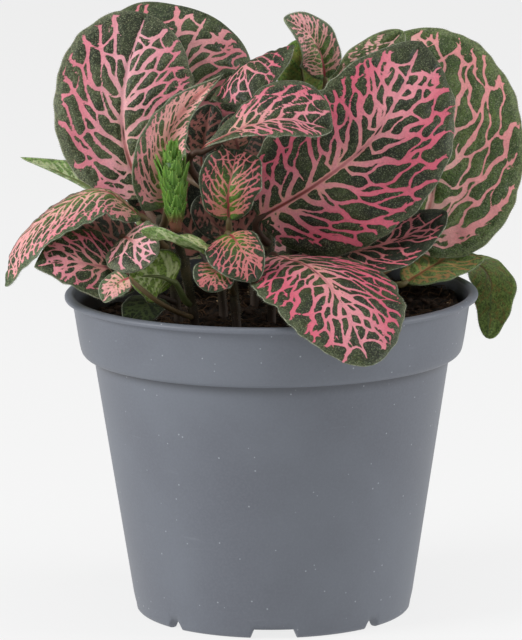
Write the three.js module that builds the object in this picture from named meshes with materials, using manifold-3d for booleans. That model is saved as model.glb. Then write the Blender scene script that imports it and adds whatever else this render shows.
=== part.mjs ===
// Potted nerve plant: a bushy rosette of veined leaves in a round plastic nursery pot.
// Millimetres, +Z up, the front towards -Y, the origin at the centre of the pot's foot.
import * as THREE from "three";
import { mergeVertices } from "three/addons/utils/BufferGeometryUtils.js";
import Module from "manifold-3d";

const wasm = await Module();
wasm.setup();

// Pot
const POT_HEIGHT = 94;
const LIP_RADIUS = 60;
const BAND_RADIUS = 57.6;
const BAND_BOTTOM = 76;
const BODY_TOP_RADIUS = 51.5;
const FOOT_RADIUS = 40.2;
const WALL = 1.2;
const FOOT_HEIGHT = 2.8;
const POT_SEGMENTS = 40;
const WIDE_NOTCH = 13.4;
const SMALL_NOTCH = 5;
const DRAIN_HOLE_RADIUS = 3.5;
const DRAIN_CIRCLE_RADIUS = 29;

// Soil
const SOIL_LEVEL = 85;
const SOIL_BOTTOM = FOOT_HEIGHT + WALL + 0.4;
const SOIL_RADIUS = 54.5;

// Plant
const STEM_RADIUS = 1.5;
const STEM_GAP = 0.8;
const STEM_FOOT = 74;
const BLADE = 0.8;
const STALK_RADIUS = 1.0;

// The stems, each a line of points from the soil upwards.
const STEMS = {
  left: [[-27, -6, 88], [-29, -6, 102], [-32, -5, 117]],
  spike: [[-22, -19, 88], [-24, -21, 101], [-27, -25, 115]],
  front: [[-10, -20, 88], [-11, -20, 101], [-12, -20, 115]],
  centre: [[0, -4, 88], [0, -5, 99], [-1, -4, 112]],
  tall: [[5, 8, 88], [6, 9, 115], [7, 8, 146]],
  inner: [[-14, 4, 88], [-16, 2, 108], [-18, -1, 127]],
  right: [[31, 4, 92], [31, 5, 96], [31, 6, 101]],
  back: [[-5, 22, 88], [-5, 23, 98], [-5, 23, 112]],
  back_left: [[-24, 16, 88], [-25, 18, 98], [-26, 19, 110]],
  back_right: [[17, 20, 88], [17, 20, 104], [16, 17, 122]],
};

// Every leaf: the stem and height it grows from, its midrib from foot to tip, the width
// of its left and right halves, the way its upper face looks at foot and tip, how far
// the halves are folded up and curled (degrees), the height and number of its edge
// waves, and how blunt its two ends are (0.5 is round, 1 is pointed).
const LEAVES = {
  upper_left: {
    stem: "left", at: 114,
    rib: [[-37, 2, 121], [-42.3, 4, 138], [-41.7, 8, 155.5], [-35.8, 16, 173.2]],
    halves: [20, 21.5], face: [[-0.1, -1, 0.3], [0, -1, 0.4]],
    fold: [8, 8], curl: [-10, -20], waves: [0.7, 7], ends: [0.56, 0.5],
  },
  top_left: {
    stem: "inner", at: 124,
    rib: [[-30, 12, 134], [-27, 16, 149], [-24, 20, 161], [-18, 27, 171.5]],
    halves: [27, 22], face: [[-0.2, -1, 0.3], [-0.1, -1, 0.4]],
    fold: [-3, -10], curl: [-20, -30], waves: [0.8, 7], ends: [0.62, 0.34],
  },
  folded: {
    stem: "left", at: 114,
    rib: [[-30, -12, 121], [-31, -15, 133], [-26.5, -10, 146], [-13, -2, 158]],
    halves: [13, 9], face: [[0.1, -1, 0.2], [0.4, -0.8, 0.5]],
    fold: [35, 50], curl: [10, 10], waves: [0.6, 5], ends: [0.5, 1.2],
  },
  top_centre: {
    stem: "tall", at: 142,
    rib: [[-3, 14, 151], [-6, 8, 158], [-7, -1, 160], [-7, -7, 157], [-5, -11, 151]],
    halves: [15, 15], face: [[-0.45, 0.3, 0.88], [-0.3, -0.75, 0.55]],
    fold: [0, -10], curl: [-10, -20], waves: [0.5, 5], ends: [0.5, 0.55],
  },
  curled_tip: {
    stem: "tall", at: 142,
    rib: [[16, 6, 155], [14.5, 5, 163], [10.5, 1, 169.5], [4, -4, 174]],
    halves: [7.5, 6.5], face: [[0.2, -1, 0.2], [0.3, -0.8, 0.5]],
    fold: [10, 10], curl: [0, -10], waves: [0.4, 5], ends: [0.5, 0.7],
  },
  backlit: {
    stem: "tall", at: 134,
    rib: [[10, 13, 144], [10, 13, 151], [9, 12, 159], [8, 10, 166]],
    halves: [8.5, 8.5], face: [[0, 1, 0.2], [0, 1, 0.3]],
    fold: [10, 10], curl: [20, 20], waves: [0.3, 3], ends: [0.5, 0.7],
  },
  pointed: {
    stem: "inner", at: 124,
    rib: [[-21, -20, 138], [-9, -24, 144.5], [4, -27, 148], [17.5, -28, 145]],
    halves: [13, 10], face: [[0, -0.3, 0.95], [0, -0.3, 0.95]],
    fold: [45, 5], curl: [-20, -10], waves: [0.4, 5], ends: [1.7, 0.7],
  },
  large_right: {
    stem: "centre", at: 109,
    rib: [[-3.5, -11, 117], [13.5, -13.5, 127.5], [29, -12, 140], [38, -6, 154], [43.5, 3, 166]],
    halves: [21.5, 24], face: [[0.15, -1, 0.25], [0.1, -1, 0.4]],
    fold: [6, 4], curl: [0, -22], waves: [0.8, 7], ends: [0.44, 0.68],
  },
  back_tall_right: {
    stem: "right", at: 98,
    rib: [[40, 12, 103], [47, 16, 118], [47, 22, 141], [35, 32, 163.8]],
    halves: [34, 27], face: [[0.1, -1, 0.35], [0, -1, 0.4]],
    fold: [0, 0], curl: [-10, -10], waves: [0.9, 7], ends: [0.63, 0.46],
  },
  under_large: {
    stem: "centre", at: 100,
    rib: [[8, -7, 105], [23, -9, 107], [37, -7, 110], [51, -1, 117]],
    halves: [14, 14], face: [[-0.1, -0.6, 0.8], [-0.2, -0.6, 0.8]],
    fold: [0, 0], curl: [0, 20], waves: [0.5, 5], ends: [0.5, 0.7],
  },
  front: {
    stem: "centre", at: 100,
    rib: [[1, -18, 107.5], [12, -38, 106.5], [20.5, -57, 99], [27, -68.5, 85]],
    halves: [22, 20], face: [[0.3, -0.5, 0.8], [0.35, -0.85, 0.5]],
    fold: [0, 0], curl: [-10, -20], waves: [0.6, 7], ends: [0.43, 0.6],
  },
  centre_oval: {
    stem: "front", at: 112,
    rib: [[-12, -26, 119], [-12, -28, 128], [-10.5, -26, 134.5], [-9.5, -21, 138.5]],
    halves: [9, 9], face: [[-0.05, -1, 0.2], [0, -0.9, 0.5]],
    fold: [15, 15], curl: [-10, -10], waves: [0.3, 5], ends: [0.5, 0.55],
  },
  centre_low: {
    stem: "front", at: 107,
    rib: [[-12, -31, 116], [-10, -37, 115], [-7, -42.5, 111], [-4, -45.5, 105]],
    halves: [6, 10], face: [[0, -0.75, 0.65], [0.1, -1, 0.3]],
    fold: [5, 5], curl: [-10, -10], waves: [0.4, 5], ends: [0.5, 0.6],
  },
  left_arch: {
    stem: "left", at: 108,
    rib: [[-37, -21, 119.5], [-48, -24, 127.5], [-61.5, -28, 122.5], [-72.5, -30, 112], [-75.5, -30, 101]],
    halves: [12, 13], face: [[-0.25, -0.25, 0.93], [-0.8, -0.3, 0.5]],
    fold: [-10, -12], curl: [-15, -15], waves: [0.4, 5], ends: [0.5, 0.7],
  },
  left_low: {
    stem: "left", at: 99,
    rib: [[-38, -26, 104], [-48, -32, 107], [-59, -36, 109.2], [-67, -38, 108]],
    halves: [10, 13], face: [[0, -0.75, 0.66], [-0.2, -0.75, 0.66]],
    fold: [0, 0], curl: [-10, -10], waves: [0.4, 5], ends: [0.5, 0.95],
  },
  left_inner: {
    stem: "left", at: 104,
    rib: [[-42, -26, 114.5], [-40, -31, 114.5], [-37, -35, 113], [-32, -38, 111]],
    halves: [8, 10], face: [[-0.2, -0.75, 0.6], [-0.1, -0.9, 0.4]],
    fold: [0, 0], curl: [0, 0], waves: [0.3, 3], ends: [0.5, 0.6],
  },
  left_lobe: {
    stem: "spike", at: 90, via: [-31, -41, 96],
    rib: [[-40, -42, 105.5], [-43, -44, 104.5], [-45.5, -46, 102.5], [-47, -48, 99.5]],
    halves: [4, 4], face: [[-0.2, -0.8, 0.5], [-0.2, -0.9, 0.4]],
    fold: [0, 0], curl: [0, 0], waves: [0.2, 3], ends: [0.5, 0.7],
  },
  pale_under: {
    stem: "spike", at: 94,
    rib: [[-28, -26, 101.5], [-31, -30, 103.5], [-36, -34, 104.5], [-40, -37, 104]],
    halves: [8, 8], face: [[0.1, 0.9, -0.1], [0.1, 0.9, -0.1]],
    fold: [0, 0], curl: [0, 0], waves: [0.3, 3], ends: [0.5, 0.6],
  },
  curled_pale: {
    stem: "front", at: 101,
    rib: [[-18, -26.5, 111.5], [-23.5, -32.5, 113], [-28.5, -42, 116.5], [-36.5, -44, 119.5]],
    halves: [6.5, 6.5], face: [[0, -0.7, 0.7], [0.3, 0.8, 0.5]],
    fold: [0, 0], curl: [10, 10], waves: [0.2, 3], ends: [0.5, 0.7],
  },
  front_small: {
    stem: "front", at: 97,
    rib: [[-14, -38, 108], [-15.5, -42, 107], [-17, -45, 105], [-18, -46, 102]],
    halves: [6, 6], face: [[0, -0.8, 0.6], [0, -0.95, 0.3]],
    fold: [0, 0], curl: [0, 0], waves: [0.2, 3], ends: [0.5, 0.6],
  },
  left_tip: {
    stem: "left", at: 104,
    rib: [[-46, 9, 121], [-54, 10, 124.5], [-62, 11, 128], [-73, 11, 132]],
    halves: [7, 7], face: [[0, 0.6, 0.8], [0, 0.6, 0.8]],
    fold: [10, 10], curl: [10, 10], waves: [0.1, 3], ends: [0.5, 1.1],
  },
  right_droop: {
    stem: "right", at: 94,
    rib: [[39, 5, 95], [48, 13, 99], [56, 21, 101], [65, 25, 93], [64.5, 23, 74.8]],
    halves: [10.5, 11], face: [[0, -0.3, 1], [0.6, 0.8, 0.1]],
    fold: [10, 0], curl: [-10, -10], waves: [0.4, 5], ends: [0.5, 0.5],
  },
  inner_upper: {
    stem: "tall", at: 124,
    rib: [[-19, -5, 134], [-19, -4, 139], [-18, -3, 144], [-17, -2, 149]],
    halves: [6, 6], face: [[0, -1, 0.1], [0, -1, 0.1]],
    fold: [10, 10], curl: [0, 0], waves: [0.2, 3], ends: [0.5, 0.6],
  },
  inner_small: {
    stem: "tall", at: 128,
    rib: [[-9, -8, 136], [-10, -8, 140], [-10, -7, 144], [-10, -6, 147]],
    halves: [4.5, 4.5], face: [[0, -1, 0.1], [0, -1, 0.1]],
    fold: [10, 10], curl: [0, 0], waves: [0.2, 3], ends: [0.5, 0.6],
  },
  inner_low: {
    stem: "centre", at: 106,
    rib: [[-12, -8, 111], [-16, -8, 115], [-19, -7, 119], [-20.5, -5.5, 123]],
    halves: [5, 5], face: [[0, -0.9, 0.4], [0, -0.9, 0.4]],
    fold: [0, 0], curl: [0, 0], waves: [0.2, 3], ends: [0.5, 0.6],
  },
  in_pot: {
    stem: "left", at: 92,
    rib: [[-33, -16, 95], [-35, -22, 95], [-38, -27, 93], [-41, -30, 90]],
    halves: [6, 6], face: [[0, -0.5, 0.87], [0, -0.6, 0.8]],
    fold: [0, 0], curl: [0, 0], waves: [0.2, 3], ends: [0.5, 0.6],
  },
  back_left_high: {
    stem: "back_left", at: 107,
    rib: [[-32, 24, 114], [-39, 31, 126], [-45, 40, 131], [-50, 51, 129]],
    halves: [17, 17], face: [[0.2, 0, 1], [-0.2, 0.4, 0.9]],
    fold: [4, 4], curl: [-15, -15], waves: [0.7, 5], ends: [0.5, 0.55],
  },
  back_centre: {
    stem: "back", at: 107,
    rib: [[-5, 33, 115], [-6, 42, 122], [-6, 54, 123], [-6, 66, 114]],
    halves: [17, 17], face: [[0, -0.3, 1], [0, 0.6, 0.8]],
    fold: [4, 4], curl: [-15, -15], waves: [0.7, 5], ends: [0.5, 0.55],
  },
  back_right_high: {
    stem: "back_right", at: 114,
    rib: [[25, 27, 121], [30, 36, 129], [35, 47, 131], [39, 58, 124]],
    halves: [17, 17], face: [[0.1, -0.3, 1], [0.2, 0.5, 0.85]],
    fold: [4, 4], curl: [-15, -15], waves: [0.7, 5], ends: [0.5, 0.55],
  },
  back_right_side: {
    stem: "back_right", at: 100,
    rib: [[29, 26, 103], [38, 33, 108], [46, 41, 106], [53, 49, 96]],
    halves: [13, 13], face: [[0, 0, 1], [0.5, 0.5, 0.7]],
    fold: [0, 0], curl: [-15, -15], waves: [0.5, 5], ends: [0.5, 0.6],
  },
  back_left_side: {
    stem: "back_left", at: 98,
    rib: [[-33, 20, 101], [-42, 26, 105], [-51, 34, 103], [-57, 42, 94]],
    halves: [13, 13], face: [[0, 0, 1], [-0.5, 0.5, 0.7]],
    fold: [0, 0], curl: [-15, -15], waves: [0.5, 5], ends: [0.5, 0.6],
  },
  back_low_left: {
    stem: "back", at: 98,
    rib: [[-13, 31, 101], [-20, 42, 106], [-26, 54, 103], [-31, 64, 91]],
    halves: [15, 15], face: [[0, 0, 1], [-0.2, 0.8, 0.6]],
    fold: [0, 0], curl: [-15, -15], waves: [0.6, 5], ends: [0.5, 0.6],
  },
  back_low_right: {
    stem: "back", at: 96,
    rib: [[5, 31, 99], [12, 43, 104], [17, 56, 101], [21, 68, 90]],
    halves: [15, 15], face: [[0, 0, 1], [0.2, 0.8, 0.6]],
    fold: [0, 0], curl: [-15, -15], waves: [0.6, 5], ends: [0.5, 0.6],
  },
  behind_top_left: {
    stem: "back_left", at: 105,
    rib: [[-20, 26, 124], [-21, 33, 136], [-24, 41, 144], [-30, 49, 147]],
    halves: [10, 9.5], face: [[0, -0.4, 0.9], [-0.2, 0.3, 0.9]],
    fold: [5, 5], curl: [-10, -10], waves: [0.5, 5], ends: [0.5, 0.6],
  },
  behind_large: {
    stem: "back_right", at: 120,
    rib: [[20, 17.2, 130], [22.5, 18, 143], [29, 19.2, 156], [39, 21, 167]],
    halves: [9, 9], face: [[0, -1, 0.3], [0, -1, 0.35]],
    fold: [5, 5], curl: [-10, -10], waves: [0.5, 5], ends: [0.5, 0.6],
  },
  behind_centre: {
    stem: "tall", at: 120,
    rib: [[1, 20, 126], [-2, 28, 135], [-4.5, 37, 140], [-6, 47, 139]],
    halves: [8, 8.5], face: [[0, -0.5, 0.9], [0, 0.3, 0.9]],
    fold: [5, 5], curl: [-10, -10], waves: [0.5, 5], ends: [0.5, 0.6],
  },
  left_mid: {
    stem: "left", at: 100,
    rib: [[-37, -9, 106], [-44, -11, 111], [-51, -13, 114], [-59, -15, 114]],
    halves: [8, 9], face: [[0, -0.8, 0.6], [0, -0.8, 0.6]],
    fold: [0, 0], curl: [-15, -15], waves: [0.4, 5], ends: [0.5, 0.6],
  },
  core_right: {
    stem: "tall", at: 104,
    rib: [[14, 6, 114], [21, 5, 123], [28, 5, 128], [36, 6, 130]],
    halves: [11, 11], face: [[-0.3, -0.3, 0.9], [0.1, -0.3, 0.9]],
    fold: [5, 5], curl: [-10, -10], waves: [0.4, 5], ends: [0.5, 0.6],
  },
  core_right_low: {
    stem: "tall", at: 95,
    rib: [[-1, 10, 101], [-6, 12, 107], [-9, 13, 113], [-11, 13, 119]],
    halves: [8, 8], face: [[0, -0.9, 0.4], [0, -0.9, 0.4]],
    fold: [0, 0], curl: [-10, -10], waves: [0.4, 5], ends: [0.5, 0.6],
  },
  core_left: {
    stem: "inner", at: 97,
    rib: [[-20, 12, 103], [-25, 14, 110], [-32, 15, 118], [-41, 15, 125.5]],
    halves: [8.5, 13.5], face: [[0, -0.9, 0.4], [0, -0.9, 0.4]],
    fold: [5, 5], curl: [-10, -10], waves: [0.3, 3], ends: [0.5, 0.45],
  },
};

// The flower spike: its foot, its height and the bracts in four rows.
const SPIKE_FOOT = [-27, -26, 116];
const SPIKE_HEIGHT = 29;
const SPIKE_TIERS = 6;

const vec = (p) => new THREE.Vector3(p[0], p[1], p[2]);

// A closed solid for joining and cutting, made from any closed geometry.
function solid(geometry) {
  const bare = geometry.index ? geometry.toNonIndexed() : geometry.clone();
  bare.deleteAttribute("normal");
  bare.deleteAttribute("uv");
  const welded = mergeVertices(bare, 1e-4);
  return new wasm.Manifold(new wasm.Mesh({
    numProp: 3,
    vertProperties: new Float32Array(welded.attributes.position.array),
    triVerts: new Uint32Array(welded.index.array),
  }));
}

function geometryOf(body) {
  const mesh = body.getMesh();
  const geometry = new THREE.BufferGeometry();
  geometry.setAttribute("position", new THREE.BufferAttribute(mesh.vertProperties, 3));
  geometry.setIndex(new THREE.BufferAttribute(mesh.triVerts, 1));
  geometry.computeVertexNormals();
  return geometry;
}

function geometryFrom(points, triangles) {
  const geometry = new THREE.BufferGeometry();
  const flat = points.flatMap((p) => [p.x, p.y, p.z]);
  geometry.setAttribute("position", new THREE.Float32BufferAttribute(flat, 3));
  geometry.setIndex(triangles);
  return geometry;
}

// A round rod along a line of points, with a radius at every point and closed ends.
function rod(points, radii, sides) {
  const rings = [];
  let across = new THREE.Vector3(1, 0.3, 0.1);
  points.forEach((point, i) => {
    const before = points[Math.max(0, i - 1)];
    const after = points[Math.min(points.length - 1, i + 1)];
    const along = after.clone().sub(before).normalize();
    across = across.clone().addScaledVector(along, -across.dot(along)).normalize();
    const up = along.clone().cross(across);
    for (let k = 0; k < sides; k += 1) {
      const angle = (2 * Math.PI * k) / sides;
      rings.push(point.clone()
        .addScaledVector(across, radii[i] * Math.cos(angle))
        .addScaledVector(up, radii[i] * Math.sin(angle)));
    }
  });
  const triangles = [];
  for (let i = 0; i + 1 < points.length; i += 1) {
    for (let k = 0; k < sides; k += 1) {
      const a = i * sides + k;
      const b = i * sides + ((k + 1) % sides);
      triangles.push(a, b, b + sides, a, b + sides, a + sides);
    }
  }
  const first = rings.length;
  rings.push(points[0].clone(), points[points.length - 1].clone());
  const last = (points.length - 1) * sides;
  for (let k = 0; k < sides; k += 1) {
    const next = (k + 1) % sides;
    triangles.push(first, next, k);
    triangles.push(first + 1, last + k, last + next);
  }
  return geometryFrom(rings, triangles);
}

// A point of a leaf: u runs from the foot to the tip, v from the left edge (-1) over the
// midrib (0) to the right edge (1). The way out of the upper face comes with it.
function leafPoint(leaf, curve, u, v) {
  const point = curve.getPoint(u);
  const along = curve.getTangent(u);
  const facing = vec(leaf.face[0]).normalize().lerp(vec(leaf.face[1]).normalize(), u);
  facing.addScaledVector(along, -facing.dot(along)).normalize();
  const side = along.clone().cross(facing);

  const [low, high] = leaf.ends;
  const peak = low / (low + high);
  const top = peak ** low * (1 - peak) ** high;

  const hand = v < 0 ? -1 : 1;
  const which = v < 0 ? 0 : 1;
  const half = (leaf.halves[which] * u ** low * (1 - u) ** high) / top;
  const reach = Math.abs(v);
  const fold = THREE.MathUtils.degToRad(leaf.fold[which]);
  const curl = THREE.MathUtils.degToRad(leaf.curl[which]) || 1e-4;
  const turn = fold + curl * reach;
  const out = (Math.sin(turn) - Math.sin(fold)) / curl;
  const lift = (Math.cos(fold) - Math.cos(turn)) / curl;
  const [height, count] = leaf.waves;
  const ripple = height * reach ** 2 * Math.sin(Math.PI * (count * u + hand * 0.4));
  const bank = reach === 0 ? 0 : turn;
  const normal = facing.clone().multiplyScalar(Math.cos(bank))
    .addScaledVector(side, -hand * Math.sin(bank));
  point.addScaledVector(side, hand * half * out);
  point.addScaledVector(facing, half * lift + ripple * Math.sin(Math.PI * u));
  return { point, normal };
}

// The thin blade: an upper and a lower face cut into the same triangles, and the edge.
function blade(leaf, rows, columns) {
  const curve = new THREE.CatmullRomCurve3(leaf.rib.map(vec));
  const points = [];
  const index = (row, column, face) => {
    if (row === 0) return face;
    if (row === rows) return 2 + face;
    return 4 + 2 * ((row - 1) * (columns + 1) + column) + face;
  };
  const add = (u, v) => {
    const { point, normal } = leafPoint(leaf, curve, u, v);
    points.push(point.clone().addScaledVector(normal, BLADE / 2));
    points.push(point.clone().addScaledVector(normal, -BLADE / 2));
  };
  add(0, 0);
  add(1, 0);
  for (let row = 1; row < rows; row += 1) {
    const u = 0.5 - 0.5 * Math.cos((Math.PI * row) / rows);
    for (let column = 0; column <= columns; column += 1) add(u, (2 * column) / columns - 1);
  }
  const triangles = [];
  const face = (a, b, c) => {
    triangles.push(a, b, c);
    triangles.push(a + 1, c + 1, b + 1);
  };
  for (let column = 0; column < columns; column += 1) {
    face(index(0, 0, 0), index(1, column + 1, 0), index(1, column, 0));
    face(index(rows, 0, 0), index(rows - 1, column, 0), index(rows - 1, column + 1, 0));
    for (let row = 1; row < rows - 1; row += 1) {
      const a = index(row, column, 0);
      const b = index(row, column + 1, 0);
      const c = index(row + 1, column + 1, 0);
      const d = index(row + 1, column, 0);
      face(a, b, c);
      face(a, c, d);
    }
  }
  for (let row = 0; row < rows; row += 1) {
    const a = index(row, columns, 0);
    const b = index(row + 1, columns, 0);
    triangles.push(a, a + 1, b + 1, a, b + 1, b);
    const c = index(row, 0, 0);
    const d = index(row + 1, 0, 0);
    triangles.push(c, d + 1, c + 1, c, d, d + 1);
  }
  return geometryFrom(points, triangles);
}

function stemCurve(name) {
  const points = STEMS[name].map(vec);
  return new THREE.CatmullRomCurve3(points);
}

// The point of a stem at a height.
function stemPoint(name, height) {
  const curve = stemCurve(name);
  let low = 0;
  let high = 1;
  for (let i = 0; i < 30; i += 1) {
    const middle = (low + high) / 2;
    if (curve.getPoint(middle).z < height) low = middle;
    else high = middle;
  }
  return curve.getPoint((low + high) / 2);
}

// A leaf on its stalk, the stalk running on under the blade as the midrib.
function leafBody(leaf) {
  const width = leaf.halves[0] + leaf.halves[1];
  const size = width > 36 ? [10, 6] : width > 17 ? [8, 4] : [6, 4];
  const curve = new THREE.CatmullRomCurve3(leaf.rib.map(vec));
  const node = stemPoint(leaf.stem, leaf.at);
  const foot = curve.getPoint(0);
  const start = curve.getTangent(0);
  const reach = foot.distanceTo(node);
  const away = foot.clone().sub(node);
  away.z = 0;
  away.normalize();
  const first = node.clone().addScaledVector(away, STEM_RADIUS + STEM_GAP);
  const path = leaf.via ? new THREE.QuadraticBezierCurve3(first, vec(leaf.via), foot)
    : new THREE.CubicBezierCurve3(
      first,
      first.clone().addScaledVector(away, reach * 0.3).add(new THREE.Vector3(0, 0, reach * 0.1)),
      foot.clone().addScaledVector(start, -reach * 0.3),
      foot,
    );
  const points = path.getPoints(3);
  const radii = points.map(() => STALK_RADIUS);
  [0.12, 0.3, 0.5].forEach((u, i) => {
    const { point, normal } = leafPoint(leaf, curve, u, 0);
    points.push(point.addScaledVector(normal, -0.35));
    radii.push([0.85, 0.7, 0.45][i]);
  });
  return solid(blade(leaf, size[0], size[1])).add(solid(rod(points, radii, size[0] > 6 ? 5 : 4)));
}

// The flower spike: overlapping bracts in four rows round a core, larger towards the top.
function spikeBody() {
  const foot = vec(SPIKE_FOOT);
  const lean = new THREE.Vector3(-0.04, -0.06, 1).normalize();
  const core = [0, 0.25, 0.6, 0.9].map((t) => foot.clone().addScaledVector(lean, SPIKE_HEIGHT * t));
  let body = solid(rod(core, [1.1, 1.8, 2.6, 1.0], 6));
  for (let tier = 0; tier < SPIKE_TIERS; tier += 1) {
    const t = tier / (SPIKE_TIERS - 1);
    const height = SPIKE_HEIGHT * (0.06 + 0.54 * t);
    const grow = 0.62 + 0.4 * t;
    for (let row = 0; row < 4; row += 1) {
      const angle = (Math.PI / 2) * row + (tier % 2 ? Math.PI / 4 : 0) + 0.3;
      const out = new THREE.Vector3(Math.cos(angle), Math.sin(angle), 0);
      const middle = foot.clone().addScaledVector(lean, height);
      const across = new THREE.Vector3(-out.y, out.x, 0);
      const at = (r, z, side) => middle.clone().addScaledVector(out, r * grow)
        .addScaledVector(lean, z * grow).addScaledVector(across, side * grow).toArray();
      const scale = [
        at(0.6, 0, 0), at(2.4, 3, -3), at(2.4, 3, 3), at(3.9, 3.2, 0), at(4.7, 8.6, 0),
        at(3.9, 8, 0),
      ];
      body = body.add(wasm.Manifold.hull(scale));
    }
  }
  return body;
}

function stemBody(name) {
  const curve = stemCurve(name);
  const points = curve.getPoints(4);
  points.unshift(new THREE.Vector3(points[0].x, points[0].y, STEM_FOOT));
  const radii = points.map((p, i) => STEM_RADIUS - 0.03 * i);
  return solid(rod(points, radii, 6));
}

// The height of the soil, higher to the right and uneven all over.
function soilHeight(x, y) {
  const rise = 5 * THREE.MathUtils.smoothstep(x + 0.3 * y, 5, 50);
  const bumps = 0.8 * Math.sin(0.31 * x + 1.2) * Math.cos(0.27 * y)
    + 0.5 * Math.sin(0.63 * y + 0.5 * x);
  return SOIL_LEVEL + rise + bumps;
}

function soilBody() {
  const rings = 6;
  const spokes = 32;
  const sides = [
    [53.5, 79.4], [50.4, 77.7], [49.7, 74.5], [38.8, 5.6], [37.8, SOIL_BOTTOM],
  ];
  const points = [new THREE.Vector3(0, 0, soilHeight(0, 0))];
  for (let ring = 1; ring <= rings; ring += 1) {
    for (let k = 0; k < spokes; k += 1) {
      const angle = (2 * Math.PI * k) / spokes;
      const x = Math.cos(angle) * SOIL_RADIUS * (ring / rings);
      const y = Math.sin(angle) * SOIL_RADIUS * (ring / rings);
      points.push(new THREE.Vector3(x, y, soilHeight(x, y)));
    }
  }
  sides.forEach(([radius, z]) => {
    for (let k = 0; k < spokes; k += 1) {
      const angle = (2 * Math.PI * k) / spokes;
      points.push(new THREE.Vector3(radius * Math.cos(angle), radius * Math.sin(angle), z));
    }
  });
  points.push(new THREE.Vector3(0, 0, SOIL_BOTTOM));
  const triangles = [];
  for (let k = 0; k < spokes; k += 1) {
    const next = (k + 1) % spokes;
    triangles.push(0, 1 + k, 1 + next);
    for (let ring = 0; ring + 1 < rings + sides.length; ring += 1) {
      const a = 1 + ring * spokes + k;
      const b = 1 + ring * spokes + next;
      triangles.push(a, a + spokes, b + spokes, a, b + spokes, b);
    }
    const last = 1 + (rings + sides.length - 1) * spokes;
    triangles.push(points.length - 1, last + next, last + k);
  }
  let body = solid(geometryFrom(points, triangles));
  Object.keys(STEMS).forEach((name) => {
    const start = STEMS[name][0];
    const hole = new THREE.CylinderGeometry(STEM_RADIUS + 0.4, STEM_RADIUS + 0.4, 30, 10);
    hole.rotateX(Math.PI / 2);
    hole.translate(start[0], start[1], STEM_FOOT - 0.4 + 15);
    body = body.subtract(solid(hole));
  });
  return body;
}

function potBody() {
  const outline = [
    [0, FOOT_HEIGHT], [FOOT_RADIUS - 3.6, FOOT_HEIGHT], [FOOT_RADIUS - 3, 0],
    [FOOT_RADIUS - 0.8, 0], [FOOT_RADIUS, 0.9], [40.5, 2.4], [BODY_TOP_RADIUS, 74],
    [51.8, BAND_BOTTOM - 0.2], [54.4, BAND_BOTTOM], [55.6, BAND_BOTTOM + 1.6],
    [BAND_RADIUS, 91], [58.2, 92.6], [59.6, 92.3], [LIP_RADIUS, 92.6], [LIP_RADIUS, 93.4],
    [59.4, POT_HEIGHT], [57.4, POT_HEIGHT], [BAND_RADIUS - WALL, 91],
    [54.4, BAND_BOTTOM + 2], [53.4, BAND_BOTTOM + 1.2], [50.8, BAND_BOTTOM + 0.8],
    [BODY_TOP_RADIUS - WALL, 74], [39.2, FOOT_HEIGHT + WALL], [0, FOOT_HEIGHT + WALL],
  ];
  const shell = new THREE.LatheGeometry(
    outline.map((p) => new THREE.Vector2(p[0], p[1])), POT_SEGMENTS);
  shell.rotateX(Math.PI / 2);
  shell.rotateZ(Math.PI / POT_SEGMENTS);
  let body = solid(shell);
  for (let i = 0; i < 8; i += 1) {
    const width = i % 2 ? SMALL_NOTCH : WIDE_NOTCH;
    const angle = (Math.PI / 4) * i;
    const cut = new THREE.Shape([
      new THREE.Vector2(-width / 2, -1), new THREE.Vector2(width / 2, -1),
      new THREE.Vector2(width / 2 - 1.2, FOOT_HEIGHT),
      new THREE.Vector2(1.2 - width / 2, FOOT_HEIGHT),
    ]);
    const notch = new THREE.ExtrudeGeometry(cut, { depth: 12, bevelEnabled: false });
    notch.rotateX(Math.PI / 2);
    notch.translate(0, FOOT_RADIUS + 6, 0);
    notch.rotateZ(Math.PI + angle);
    body = body.subtract(solid(notch));
    const drain = new THREE.CylinderGeometry(DRAIN_HOLE_RADIUS, DRAIN_HOLE_RADIUS, 8, 16);
    drain.rotateX(Math.PI / 2);
    drain.translate(
      DRAIN_CIRCLE_RADIUS * Math.sin(angle), -DRAIN_CIRCLE_RADIUS * Math.cos(angle), FOOT_HEIGHT);
    body = body.subtract(solid(drain));
  }
  return body;
}

const plant = new THREE.Group();
plant.name = "potted_nerve_plant";

function place(name, body, colour, roughness) {
  const material = new THREE.MeshStandardMaterial({ color: colour, roughness });
  material.name = `${name}_material`;
  const mesh = new THREE.Mesh(geometryOf(body), material);
  mesh.name = name;
  plant.add(mesh);
}

place("pot", potBody(), 0x6f737a, 0.5);
place("soil", soilBody(), 0x2a201a, 0.95);
Object.keys(STEMS).forEach((name) => place(`stem_${name}`, stemBody(name), 0x7d7a4a, 0.7));
Object.entries(LEAVES).forEach(([name, leaf]) => {
  place(`leaf_${name}`, leafBody(leaf), 0x3b4d33, 0.6);
});
place("flower_spike", spikeBody(), 0x4d9b2c, 0.5);

export default plant;
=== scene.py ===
# %% [markdown]
# This is a nerve plant, a low houseplant with pink-veined leaves, in the plain plastic pot it
# was grown in. It stands as a frame of plain solids, and each step here puts a finer piece over
# one of them. It could be modelled by hand, but every piece follows a rule with a few numbers,
# so a script keeps the fine pieces exactly where the plain ones were. Lengths are written in
# millimetres, as a grower would measure them, and turned into metres where meshes are made. The
# front is towards -Y and the origin is in the middle of the pot's foot.

# %% Frame
import math

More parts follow.
